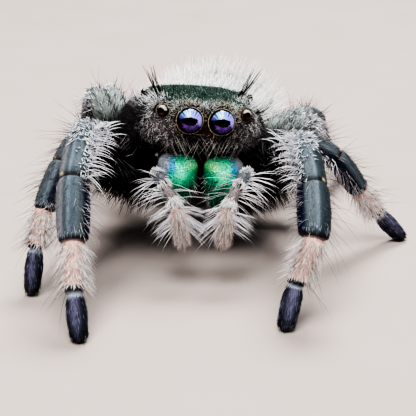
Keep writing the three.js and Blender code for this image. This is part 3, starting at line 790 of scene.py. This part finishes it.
def marks(name):
    """How far a leg's stripes are turned towards its front side in degrees, how blue it
    is, which also sets the strength of its pale stripe, a painted highlight, where its dark
    front edge and its rear side begin, and the colour of the rear, which on the front legs
    is painted light on the right leg and painted shade on the left."""
    # The right front leg's lighter rear and the left front leg's darker rear are painted light and
    # shade.
    special = {"leg_1_right": (9, 0.5, 0.74, 0.28, "#72737a"),
               "leg_1_left": (15, 0.2, 0.66, 0.02, "#2d373d")}
    return special.get(name, (15, 0.15, 0.25, 0.3, "#4d5459"))


def leg_joints(name, number, side):
    """Coxa start, hip, knee and the other joints down to the middle of the foot."""
    _, y, z = HIPS[number]
    nodes = [f"{name}_{segment}" for segment in SEGMENTS]
    foot = node_points(nodes[-1])
    course = [from_head((side * COXA_START, y, z - 0.02)), from_head(mirror(HIPS[number], side))]
    course += [meeting(a, b) for a, b in zip(nodes, nodes[1:])]
    course[3] = course[3] + PATELLA_REACH.get(name, 0) * unit(course[4] - course[3])
    return np.array(course + [foot[foot[:, 2] < 0.02].mean(axis=0)])


def leg_skin(name, number, side, count):
    """A limb in the plane of its knee, thinner at each joint and round at the foot."""
    joints = leg_joints(name, number, side)
    points, q, left = limb_path(joints, 0.36, count)
    radius = np.zeros(count)
    for k, shape in enumerate(LEG_SHAPE):
        inside = (q >= k) & (q <= k + 1)
        radius[inside] = LEG_RADII[number][k] * profile(shape, q[inside] - k)
    radius = (radius - COAT_DEPTH) * (1 - 0.12 * sum(bump(k, 0.025, q) for k in (2, 3, 4, 5)))
    tip = np.clip(1 - left / 0.2, 0, 1)
    radius *= np.sqrt(np.maximum(1 - 0.97 * tip ** 2, 0))
    points[:, 2] += 0.03 * smooth(0.3, 0.0, left)
    out = joints[-1] - joints[1]
    ahead = side * np.array([out[1], -out[0], 0])
    plane = unit(np.cross(out, joints[2] - joints[1]))
    plane = plane * np.sign(plane @ ahead)
    return limb_skin(points, plane, side, radius, LEG_FLATNESS, 56, marks(name)[0], q=q)


def leg_marking(name, f):
    """Brown-black thigh, blue-grey knee and shin with a pale stripe that is a painted highlight,
    a dark front edge and a grey rear side, painted lighter on the right front leg and
    darker on the left one as painted light and shade, pinkish metatarsus, and a blue-black
    foot with a painted highlight on top."""
    q, top, front = f.q, f.top, f.front
    _, blueness, edge, behind, rear = marks(name)
    upper = top > 0
    # The pale stripe along the top of each leg is a painted highlight.
    slate = paint("#444c50", ("#6e7c8d", 0.6 * (0.5 + blueness) * bump(0.0, 0.1, front) * upper),
                  ("#344e6e", blueness * 0.5 * bump(0.25, 0.12, front) * upper),
                  ("#525c62", 0.7 * bump(0.5, 0.12, front) * upper),
                  # On the front legs this rear colour is painted light on the right leg and painted
                  # shade on the left.
                  (rear, smooth(behind, behind + 0.22, -front)),
                  ("#0c1730", smooth(edge, edge + 0.16, front)),
                  ("#1b181d", smooth(-0.2, 0.5, -top)))
    slate = slate * (1 - 0.4 * smooth(0.88, 1.0, q % 1))[..., None]
    raised = 0.75 * (name[4] in "34") * span(1.5, 1.8, 2.7, 3.0, q) * smooth(-0.4, 0.3, top)
    knob = smooth(0.45, 0.6, -front) * smooth(0.85, 0.7, -front) * upper
    joints = ((2, 0.02), (3, 0.022), (3.985, 0.018), (4.93, 0.03))
    colour = paint(blend(linear("#0b0a0d"), slate, smooth(1.75, 2.0, q)), ("#868f8c", raised),
                   ("#cbbd96", knob * bump(2.965, 0.018, q)),
                   *[("#1c0b09", 0.95 * bump(joint, width, q)) for joint, width in joints])
    tan = paint("#cda398", ("#7d6a66", smooth(0.0, 0.8, -top)))
    colour = blend(colour, tan, span(4.0, 4.04, 4.84, 4.88, q))
    # The paler top of the foot is a painted highlight.
    toe = paint("#171925", ("#5d5a72", bump(0.05, 0.55, front) * smooth(0.1, 0.9, top)))
    toe = toe * (1 - 0.5 * smooth(5.4, 5.9, q))[..., None]
    toe = blend(linear("#9aa2ae"), toe, smooth(5.035, 5.1, q))
    return blend(colour, toe, smooth(4.97, 5.01, q))


KNEE_SCALES = (900, 240, 129, 129)  # white scales on the knee of each pair, when plentiful
FRINGE_HAIRS = (46, 20, 10, 10)  # long white hairs on its front side


def grow_fringe(coat, name, number):
    """A row of long drooping hairs on the front side of the knee, and grey ones below."""
    q = coat.skin.fields.q
    dice = np.random.default_rng(coat.seed + 2)
    size = 1.0 if number == 0 else 0.6
    for start, end, share, length, colours in ((1.8, 3.06, 1.0, 0.96, "#ecebf2 #ffffff"),
                                               (2.9, 3.8, 0.6, 0.62, "#45434a #a5a3aa")):
        amount = int(FRINGE_HAIRS[number] * share)
        places = np.linspace(start, end, amount) + 0.02 * dice.normal(size=amount)
        rows = np.interp(places, q[:, 0], np.arange(len(q)))
        angle = 72 + marks(name)[0] / 2 + 9 * dice.normal(size=amount)
        r = coat.skin.roots_at(rows, angle / 360 * q.shape[1], dice)
        coat.add(r, size * length * (0.85 + 0.3 * r.dice[1]), 0.036, 76 + 12 * r.dice[2],
                 ramp(r.dice[0], colours), bend=(0, 0, -0.36), onward=0.1, stray=0.05)


def grow_leg(name, skin, number, plenty):
    """Flat velvet from thigh to shin, white scales and a fringe on the knee, pale hairs on
    the metatarsus, dark ones on the foot and thigh, and thin longer hairs all over."""
    q, top, front = skin.fields.q, skin.fields.top, skin.fields.front
    coat = Coat(skin, 100 + 10 * number + (200 if name.endswith("left") else 0), plenty)
    # The velvet takes the skin's marking, with its painted highlights and painted light and shade.
    coat.grow(2100, span(0.6, 1.2, 3.92, 4.0, q) + (q > 5.0), 0, (0.1, 0.07), 0.017, (8, 12),
              lambda r: leg_marking(name, r) * (0.55 + 1.3 * r.dice[0][:, None] ** 1.5), stray=0.1)
    knee = bump(2.12, 0.2, q) * smooth(-0.1, 0.6, top + 0.8 * front)
    knee = knee + 1.1 * bump(2.45, 0.36, q) * bump(0.78, 0.2, front) * (top > -0.2)
    knee = knee + 0.3 * bump(1.9, 0.15, q) * smooth(-0.2, 0.4, front)
    # The blue-grey share of the knee scales is painted shade among the white scales.
    coat.grow(KNEE_SCALES[number], knee, 1, (0.15, 0.1), 0.046, (14, 26),
              "#5d7096 #eaf1fa #ffffff #ffffff", stray=0.4, flat=0.4)
    grow_fringe(coat, name, number)
    pale = span(4.0, 4.06, 4.82, 4.9, q)
    coat.grow(360, pale * (0.35 + smooth(-0.5, 0.5, top)), 3, (0.16, 0.17), 0.03, (14, 34),
              "#bfa39b #f4ecea #ffffff", stray=0.35)
    coat.grow(150, pale * smooth(0.5, 0.8, np.abs(front)), 8, (0.36, 0.26), 0.022, (40, 30),
              "#b7a6a0 #ffffff", onward=0.3)
    cuff = (bump(3.9, 0.035, q) + bump(5.05, 0.03, q)) * smooth(0.2, 0.8, top)
    coat.grow(70, cuff, 4, (0.1, 0.06), 0.024, (10, 14), "#3e464c #76828b #b3bcc4", stray=0.15)
    # Long near-black hairs hang under the coxa and thigh; besides being hair, they fill the space
    # under the body with dark, as painted shade.
    coat.grow(520, span(0.0, 0.3, 1.5, 1.8, q) * smooth(-0.1, -0.6, top), 11, (0.45, 0.6), 0.042,
              (50, 35), "#040405 #121016", stray=0.25, bend=(0, 0, -0.25))
    coat.grow(420, span(0.3, 0.7, 1.9, 2.1, q), 7, (0.22, 0.25), 0.022, (15, 35),
              "#060508 #1c1a1f #6e6a72", 4, stray=0.3)
    thin = span(1.2, 2.2, 4.9, 5.0, q) * (0.2 + np.abs(front))
    coat.grow(380, thin * (1 + smooth(0.3, 0.7, front)), 5, (0.3, 0.3), 0.015, (40, 30),
              lambda r: blend(ramp(r.dice[0], "#2a2526 #75686b"),
                              ramp(r.dice[0], "#8f8286 #e6dcdc"), smooth(-0.2, 0.4, r.front)),
              onward=0.3)
    reach = 1 if number == 0 else 0.75
    coat.grow(44, thin * smooth(0.4, -0.3, front), 9, (0.85 * reach, 0.55 * reach), 0.017,
              (45, 30), "#1d191a #4e4547", onward=0.25)
    toe = smooth(5.55, 5.85, q) * (0.4 + smooth(0.2, -0.5, top))
    coat.grow(260, toe, 6, (0.13, 0.05), 0.022, (20, 16), lambda r: 1.4 * linear("#0c0b10"))
    coat.grow(420, smooth(5.03, 5.1, q), 10, (0.12, 0.1), 0.018, (5, 9),
              "#161925 #3d445c #99a1b7", 1.5, stray=0.1)
    coat.build(f"{name}_coat", FINE_HAIR, "leg_velvet")


def build_legs():
    for number in range(4):
        rows, plenty = (300, 1.0) if number < 2 else (240, 0.7)
        for word, side in SIDES:
            name = f"leg_{number + 1}_{word}"
            skin = leg_skin(name, number, side, rows)
            skin.build(f"{name}_skin", leg_marking(name, skin.fields), VELVET, "leg_velvet",
                       *[f"{name}_{segment}" for segment in SEGMENTS])
            grow_leg(name, skin, number, plenty)


# ---------- jaws and feelers
# Jaw cross-sections from the top: z, centre x, centre y, half width, half depth.
JAW_SECTIONS = [
    [-1.08, 0.76, 0.5, 0.05, 0.05], [-1.1, 0.77, 0.46, 0.2, 0.22],
    [-1.18, 0.78, 0.4, 0.38, 0.4], [-1.28, 0.78, 0.34, 0.53, 0.55],
    [-1.42, 0.775, 0.27, 0.63, 0.65], [-1.6, 0.77, 0.22, 0.67, 0.7],
    [-2.0, 0.78, 0.2, 0.65, 0.66], [-2.4, 0.8, 0.26, 0.56, 0.55],
    [-2.72, 0.8, 0.34, 0.46, 0.42], [-2.9, 0.77, 0.4, 0.3, 0.28],
    [-2.95, 0.75, 0.41, 0.06, 0.06],
]


def jaw_marking(f):
    """Emerald with a bright heart near the top, partly the jaw's own bright green and partly
    a painted highlight, yellow-green on the inner side, blue towards the outer side and
    mauve-grey beyond it, darker below, and dark at the crown as painted shade under the
    clypeus."""
    inner, z = f.inner, f.z
    return paint("#07865f", ("#10f2b0", bump(-1.7, 0.38, z) * bump(0.1, 0.5, inner)),
                 # The near-white spot in the heart is a painted highlight.
                 ("#62ffd4", 0.8 * bump(-1.68, 0.15, z) * bump(0.05, 0.2, inner)),
                 ("#a4e078", 0.4 * bump(-1.45, 0.16, z) * smooth(0.2, 0.6, inner)),
                 ("#2c7fc0", 0.8 * smooth(0.05, 0.35, -inner) * bump(-1.48, 0.28, z)),
                 ("#8e929c", smooth(0.45, 0.72, -inner)),
                 ("#0a5038", 0.8 * smooth(-2.0, -2.6, z)),
                 # The dark crown of the jaw is painted shade under the clypeus.
                 ("#1c1b20", 0.9 * smooth(-1.42, -1.16, z)),
                 ("#100d12", smooth(0.1, -0.4, f.face)))


def build_jaws():
    """Oval rings down z, with fine wavy ridges across the front. Green scales low on the
    jaw, pale hairs on its inner edge, grey and green ones at its crown."""
    t = np.linspace(0, 1, 110)
    z, x, y, wide, deep = through(JAW_SECTIONS, t * (len(JAW_SECTIONS) - 1)).T[..., None]
    angle = circle(96)[None]
    face = np.sin(angle)
    ridge = 0.008 * np.sin(z * 62 + 5 * np.sin(angle * 5 + z * 4))
    ridge = ridge * smooth(0.0, 0.5, face) * smooth(-1.2, -2.0, z)
    for word, side in SIDES:
        px = side * x + (wide + ridge) * np.cos(angle)
        place = [px, y - (deep + ridge) * face, np.broadcast_to(z, px.shape)]
        skin = Skin(from_head(np.stack(place, -1)), inner=-side * np.cos(angle), face=face, z=z)
        f = skin.fields
        skin.build(f"jaw_{word}", jaw_marking(f), JAW, "jaw", f"chelicera_{word}")
        coat = Coat(skin, side)
        lower = smooth(-1.7, -2.1, f.z) * smooth(-0.2, 0.3, f.face)
        coat.grow(700, lower, 400, (0.1, 0.08), 0.026, (12, 22), "#021a12 #0c6b4a #6aeab0", 1.3,
                  lie=-HEAD[2] - 0.5 * side * HEAD[0], stray=0.5, flat=0.4)
        coat.grow(26, smooth(0.6, 0.9, f.inner) * lower, 410, (0.2, 0.15), 0.018, (55, 0),
                  "#8b8f90 #e8e6e2", lie=-HEAD[2], stray=0.35)
        coat.grow(260, bump(-1.3, 0.16, f.z) * smooth(0.2, 0.6, f.face), 420, (0.1, 0.06), 0.018,
                  (16, 24), lambda r: blend(ramp(r.dice[0], "#3b3f44 #a5aaaf"),
                                            ramp(r.dice[0], "#0f7a5a #7fe8bf"),
                                            smooth(-0.4, -0.1, r.inner)), stray=0.5)
        coat.build(f"jaw_hairs_{word}", FINE_HAIR, "jaw")


def build_fangs():
    """A tapering tube along a quadratic curve under each jaw."""
    t = np.linspace(0, 1, 40)
    u = t[:, None]
    radius = (0.165 - 0.13 * t) * np.sqrt(1 - 0.97 * smooth(0.9, 1.0, t))
    for word, side in SIDES:
        a, b, c = (mirror(p, side) for p in
                   ((0.86, 0.44, -3.12), (0.62, 0.3, -3.36), (0.22, 0.5, -3.29)))
        path = from_head((1 - u) ** 2 * a + 2 * u * (1 - u) * b + u ** 2 * c)
        skin = limb_skin(path, HEAD[1], side, radius, 1.0, 20)
        skin.build(f"fang_skin_{word}", "#2a100a", HORN, "fang", f"fang_{word}")


PALP_ROUTES = {
    "palp_right": [(-1.5, 1.1, -2.5), (-1.78, 0.3, -2.2), (-1.56, -0.36, -1.77),
                   (-0.98, -1.36, -2.58), (-0.6, -1.62, -3.9)],
    "palp_left": [(1.5, 1.1, -2.5), (1.72, 0.2, -2.1), (1.41, -0.76, -1.53),
                  (0.7, -1.72, -2.45), (0.57, -1.93, -3.78)],
}
# Radius along a feeler; s is 0.4 at its knee and 0.7 where the last segment begins.
PALP_SHAPE = [[0, 0.2], [0.2, 0.2], [0.36, 0.19], [0.4, 0.18], [0.46, 0.22], [0.52, 0.2],
              [0.545, 0.15], [0.6, 0.2], [0.67, 0.2], [0.7, 0.16], [0.75, 0.22], [0.82, 0.21],
              [0.9, 0.19], [0.97, 0.15], [1, 0.04]]
PALP_END = 0.985  # how much of the route the skin covers; hairs make up the rest
# Its fringes: where they start and end, count, length, width, lift, share on the inside.
PALP_FRINGES = ((0.44, 0.68, 44, 1.12, 0.028, 82, 0.4), (0.68, 0.86, 80, 0.9, 0.023, 68, 1.0))


def knotted_curve(route, count):
    """A Catmull-Rom curve, its knots spaced by the square root of distance, read at even
    lengths, and the share of the length at each point of the route."""
    p = np.array(route, float)
    p = np.vstack([2 * p[0] - p[1], p, 2 * p[-1] - p[-2]])
    gap = np.sqrt(np.linalg.norm(np.diff(p, axis=0), axis=1))
    t = np.linspace(0, 1, 120)[:, None]
    pieces = []
    for k in range(1, len(p) - 2):
        d0, d1, d2 = gap[k - 1:k + 2]
        step = p[k + 1] - p[k]
        m1 = d1 * ((p[k] - p[k - 1]) / d0 - (p[k + 1] - p[k - 1]) / (d0 + d1)) + step
        m2 = d1 * ((p[k + 2] - p[k + 1]) / d2 - (p[k + 2] - p[k]) / (d1 + d2)) + step
        pieces.append(hermite(t, p[k], m1, p[k + 1], m2)[:-1])
    dense = np.vstack(pieces + [p[-2:-1]])
    run = np.append(0, np.cumsum(np.linalg.norm(np.diff(dense, axis=0), axis=1)))
    even = np.linspace(0, run[-1], count)
    return np.stack([np.interp(even, run, axis) for axis in dense.T], -1), run[::119] / run[-1]


def palp_marking(f):
    """Dark thigh, slate patella, brown-grey tibia, and a tarsus that is pink at its base."""
    colour = paint("#0e0c10", ("#5c6066", smooth(0.37, 0.42, f.s)),
                   ("#787070", smooth(0.53, 0.58, f.s)),
                   *[("#4a1a12", 0.8 * bump(joint, 0.012, f.s)) for joint in (0.385, 0.545, 0.7)])
    tan = paint("#c09a90", ("#8d756e", smooth(0.1, -0.6, f.top)),
                ("#9a908c", smooth(0.78, 0.88, f.s)))
    return blend(colour, tan, smooth(0.7, 0.73, f.s))


def build_palps():
    for word, side in SIDES:
        name = f"palp_{word}"
        path, knots = knotted_curve(PALP_ROUTES[name], 190)
        path = from_head(path)[:int(190 * PALP_END)]
        share = np.linspace(0, PALP_END, len(path))
        s = np.interp(share, [0, knots[2], knots[3], PALP_END], [0, 0.4, 0.7, 1])
        skin = limb_skin(path, -side * HEAD[0], side, profile(PALP_SHAPE, s), 0.95, 44, s=s)
        skin.build(f"{name}_skin", palp_marking(skin.fields), VELVET, "palp", name)
        grow_palp(name, skin, side)


def grow_palp(name, skin, side):
    """White scales on the knee, white hairs at the joints, long white fringes on both
    sides, and pale hairs down the tarsus that stand out round its base."""
    s, top, front = skin.fields.s, skin.fields.top, skin.fields.front
    coat = Coat(skin, 500 + 20 * (side > 0))
    coat.grow(1500, smooth(0.2, 0.4, s), 0, (0.09, 0.08), 0.016, (12, 24),
              lambda r: palp_marking(r) * (0.45 + 2.0 * r.dice[0][:, None] ** 3), stray=0.3)
    coat.grow(240, bump(0.405, 0.025, s) * smooth(-0.1, 0.5, top), 1, (0.1, 0.1), 0.036,
              (18, 25), "#e4e8ec #ffffff", stray=0.4, flat=0.5)
    joint = bump(0.67, 0.02, s) + 0.6 * bump(0.52, 0.014, s)
    coat.grow(300, joint * (0.3 + 0.7 * smooth(-0.6, 0.3, top)), 2, (0.18, 0.14), 0.028,
              (18, 26), "#dcd6d8 #ffffff")
    for k, (start, end, count, length, width, lift, inside) in enumerate(PALP_FRINGES):
        edge = smooth(0.6, 0.9, np.abs(front)) * np.where(front > 0, inside, 1)
        edge = edge * smooth(start - 0.02, start + 0.02, s) * smooth(end + 0.03, end - 0.03, s)
        coat.grow(count, edge, 3 + k, (0.75 * length, 0.4 * length), width,
                  lambda r: lift - 12 * np.sign(r.front) + 2 + 12 * (r.dice[2] - 0.5),
                  "#dcd6e2 #ffffff", stray=0.11, onward=0.18, bend=(0, 0, -0.1))
    coat.grow(1500, smooth(0.71, 0.76, s) * (1.3 - s), 5,
              lambda r: (0.2 + 0.26 * r.dice[1]) * (1 - 0.45 * smooth(0.88, 1.0, r.s)), 0.015,
              lambda r: (9 + 22 * r.dice[2] ** 2) * (1.9 - 0.6 * smooth(0.74, 0.95, r.s)),
              "#7a5f57 #c2a8a0 #f5ebe7 #ffffff", onward=0.15, stray=0.12)
    coat.build(f"{name}_coat", FINE_HAIR, "palp")


# ---------- belly and abdomen
# Cross-sections of the sternum from the front: y, half width, top, bottom.
STERNUM = [[0.98, 0.2, -2.0, -2.4], [1.06, 0.6, -1.6, -2.72], [1.4, 0.92, -1.5, -2.86],
           [2.2, 0.98, -1.5, -2.96], [3.6, 0.98, -1.5, -2.98], [4.9, 0.9, -1.5, -2.91],
           [5.42, 0.5, -1.6, -2.66], [5.5, 0.1, -1.9, -2.3]]


def build_underside():
    """The sternum with its hairs, and the waist, a tube between its two CAD ends."""
    local = body_rings(*through(STERNUM, np.linspace(0, 7, 90)).T, 80, 3.2)
    skin = Skin(from_head(local), z=local[..., 2])
    skin.build("sternum_skin", "#17151a", CUTICLE, "underside", "sternum")
    coat = Coat(skin)
    coat.grow(900, smooth(-2.3, -2.6, skin.fields.z), 600, (0.16, 0.1), 0.02, (20, 0),
              "#1c1a1e #6a6668", stray=0.3)
    coat.build("sternum_hairs", FINE_HAIR, "underside")
    ends = node_points("pedicel")
    ends = ends[np.argsort(ends[:, 1])]
    first, last = ends[:11].mean(axis=0), ends[11:].mean(axis=0)
    t = np.linspace(-0.5, 1.5, 40)
    path = first + t[:, None] * (last - first)
    waist = limb_skin(path, np.array([1.0, 0, 0]), 1, 0.19 - 0.03 * bump(0.5, 0.4, t), 1.35, 32)
    waist.build("pedicel_skin", "#1b181b", CUTICLE, "underside", "pedicel")


ABDOMEN_SIZE = (2.62, 7.3, 1.84)  # half width, length and half height, to the mean fur
ABDOMEN_BEND = math.radians(14)  # tail end towards +X
ABDOMEN_SLOPE = math.radians(-3)  # tail end lower
ABDOMEN_COAT = 0.14  # depth of the fur inside the outline


def abdomen_axes():
    """The middle of the abdomen's front end, and its across, back and up directions."""
    level = math.cos(ABDOMEN_SLOPE)
    back = np.array([math.sin(ABDOMEN_BEND) * level, math.cos(ABDOMEN_BEND) * level,
                     math.sin(ABDOMEN_SLOPE)])
    across = unit(np.cross(back, [0, 0, 1.0]))
    up = np.cross(across, back)
    points = node_points("abdomen")
    run = points @ back
    front = points[run < run.min() + 0.03].mean(axis=0) - back * 0.012 * ABDOMEN_SIZE[1]
    return front + up * 0.12, np.array([across, back, up])


def abdomen_marking(f):
    """Grey-brown above with a white band round the front and pale paired spots, darker
    below."""
    wide = np.abs(f.x)
    spots = sum(bump(place, 0.035, f.t) * bump(middle, 0.3, wide)
                for place, middle in ((0.64, 0.6), (0.8, 0.5)))
    white = np.maximum(1 - smooth(0.4, 0.56, f.t + 0.14 * wide), spots * smooth(0.0, 0.4, f.up))
    return paint("#8c8782", ("#5a5654", smooth(0.2, -0.6, f.up)), ("#ffffff", np.clip(white, 0, 1)))


def build_abdomen():
    """Rings over t with size (1 - |2 t^0.9 - 1|^2.3)^(1/2) times the half width and half
    height, less the depth of the fur."""
    front, axes = abdomen_axes()
    half, length, high = ABDOMEN_SIZE
    t = 0.002 + 0.994 * (0.5 - 0.5 * np.cos(np.linspace(0.02, PI - 0.02, 130)))
    size = np.sqrt(1 - np.abs(2 * t ** 0.9 - 1) ** 2.3)
    level, tall = -0.12 * np.cos(PI * t), (high - ABDOMEN_COAT) * size
    local = body_rings(t * length, (half - ABDOMEN_COAT) * size, level + tall, level - tall,
                       150, 2.1, 0.05)
    skin = Skin(front + local @ axes, x=local[..., 0] / 2.5, t=t[:, None], up=local[..., 2] / 1.8)
    f = skin.fields
    skin.build("abdomen_skin", abdomen_marking(f), VELVET, "white_hair", "abdomen")
    fur = Coat(skin)
    fur.grow(12000, np.ones(f.x.shape), 700, (0.26, 0.18), 0.03, (14, 26),
             lambda r: abdomen_marking(r) * (0.7 + 0.5 * r.dice[0][:, None]), stray=0.25)
    fur.grow(4500, smooth(0.62, 0.42, f.t) * smooth(-0.4, 0.1, f.up), 702, (0.36, 0.2), 0.038,
             (14, 26), "#f2f4f5 #ffffff", stray=0.25)
    fur.build("abdomen_fur", FINE_HAIR, "white_hair", (0.0, 0.5))
    long_coat = Coat(skin)
    long_coat.grow(3600, 0.4 + smooth(-0.6, 0.2, f.up) + 1.5 * smooth(0.2, 0.05, f.t), 701,
                   lambda r: 0.55 + (0.75 + 0.5 * smooth(0.3, 0.1, r.t)) * r.dice[1] ** 1.5,
                   0.022, (38, 34), "#8d8a88 #e2e2e2 #ffffff", 0.6, onward=0.15,
                   bend=(0, 0, -0.05), stray=0.25)
    long_coat.build("abdomen_long_hairs", FINE_HAIR, "white_hair")
    build_spinnerets(front, axes)


def build_spinnerets(front, axes):
    """Three pairs of short tapering tubes at the tail, rooted inside it."""
    t = np.linspace(0, 1, 26)
    sizes = ((0.2, 0.12, 0.62, 0.12), (0.1, -0.02, 0.45, 0.07), (0.2, -0.14, 0.6, 0.11))
    for number, (wide, rise, length, radius) in enumerate(sizes):
        taper = radius * (1 - 0.35 * t) * np.sqrt(1 - 0.97 * smooth(0.85, 1, t))
        for word, side in SIDES:
            start = np.array([side * wide * 0.6, ABDOMEN_SIZE[1] * 0.965, 0.1 + rise])
            course = start + t[:, None] * [side * 0.1, length, rise * 0.5]
            tube = limb_skin(front + course @ axes, axes[0], 1, taper, 1.0, 20)
            names = ("spinnerets",) if (number, side) == (0, 1) else ()
            tube.build(f"spinneret_{number + 1}_{word}", "#2a2624", CUTICLE, "underside", *names)


# ---------- surroundings
def put_floor():
    corners = 400.0 * np.array([[-1, -1, 0], [1, -1, 0], [1, 1, 0], [-1, 1, 0]])
    sheet = new_mesh("floor", corners, [np.array([[0, 1, 2, 3]])])
    sheet.data.materials.append(floor_sheet())


def area_light(name, place, size, power, colour):
    """A soft square light, aimed at the head."""
    data = bpy.data.lights.new(name, "AREA")
    data.size, data.energy, data.color = size * MM, power, colour
    lamp = bpy.data.objects.new(name, data)
    back = unit(np.array(place) - head_o)
    right = unit(np.cross([0, 0, 1.0], back))
    turn = np.eye(4)
    turn[:3, :3] = np.array([right, np.cross(back, right), back]).T
    turn[:3, 3] = np.array(place) * MM
    lamp.matrix_world = Matrix(turn.tolist())
    lamp.visible_glossy = name != "front"
    bpy.context.collection.objects.link(lamp)


def light_scene():
    area_light("key", (-12, -50, 115), 75, 0.26, (1.0, 0.99, 0.97))
    area_light("front", (25, -135, 35), 90, 0.04, (0.93, 0.96, 1.0))
    area_light("rim", (15, 65, 115), 50, 0.26, (1.0, 1.0, 1.0))
    world = bpy.data.worlds.new("studio")
    bpy.context.scene.world = world
    world.use_nodes = True
    backdrop = world.node_tree.nodes["Background"]
    backdrop.inputs["Color"].default_value = (0.75, 0.82, 0.9, 1)
    backdrop.inputs["Strength"].default_value = 0.09
    bpy.context.scene.view_settings.look = "AgX - Very High Contrast"


make_camera()
carapace = carapace_skin()
carapace.build("carapace_skin", carapace_marking(carapace.fields), CUTICLE, "shell", "carapace")
grow_carapace_coat(carapace)
grow_bristles(carapace)
build_eyes()
build_legs()
build_jaws()
build_fangs()
build_palps()
build_underside()
build_abdomen()
put_floor()
light_scene()
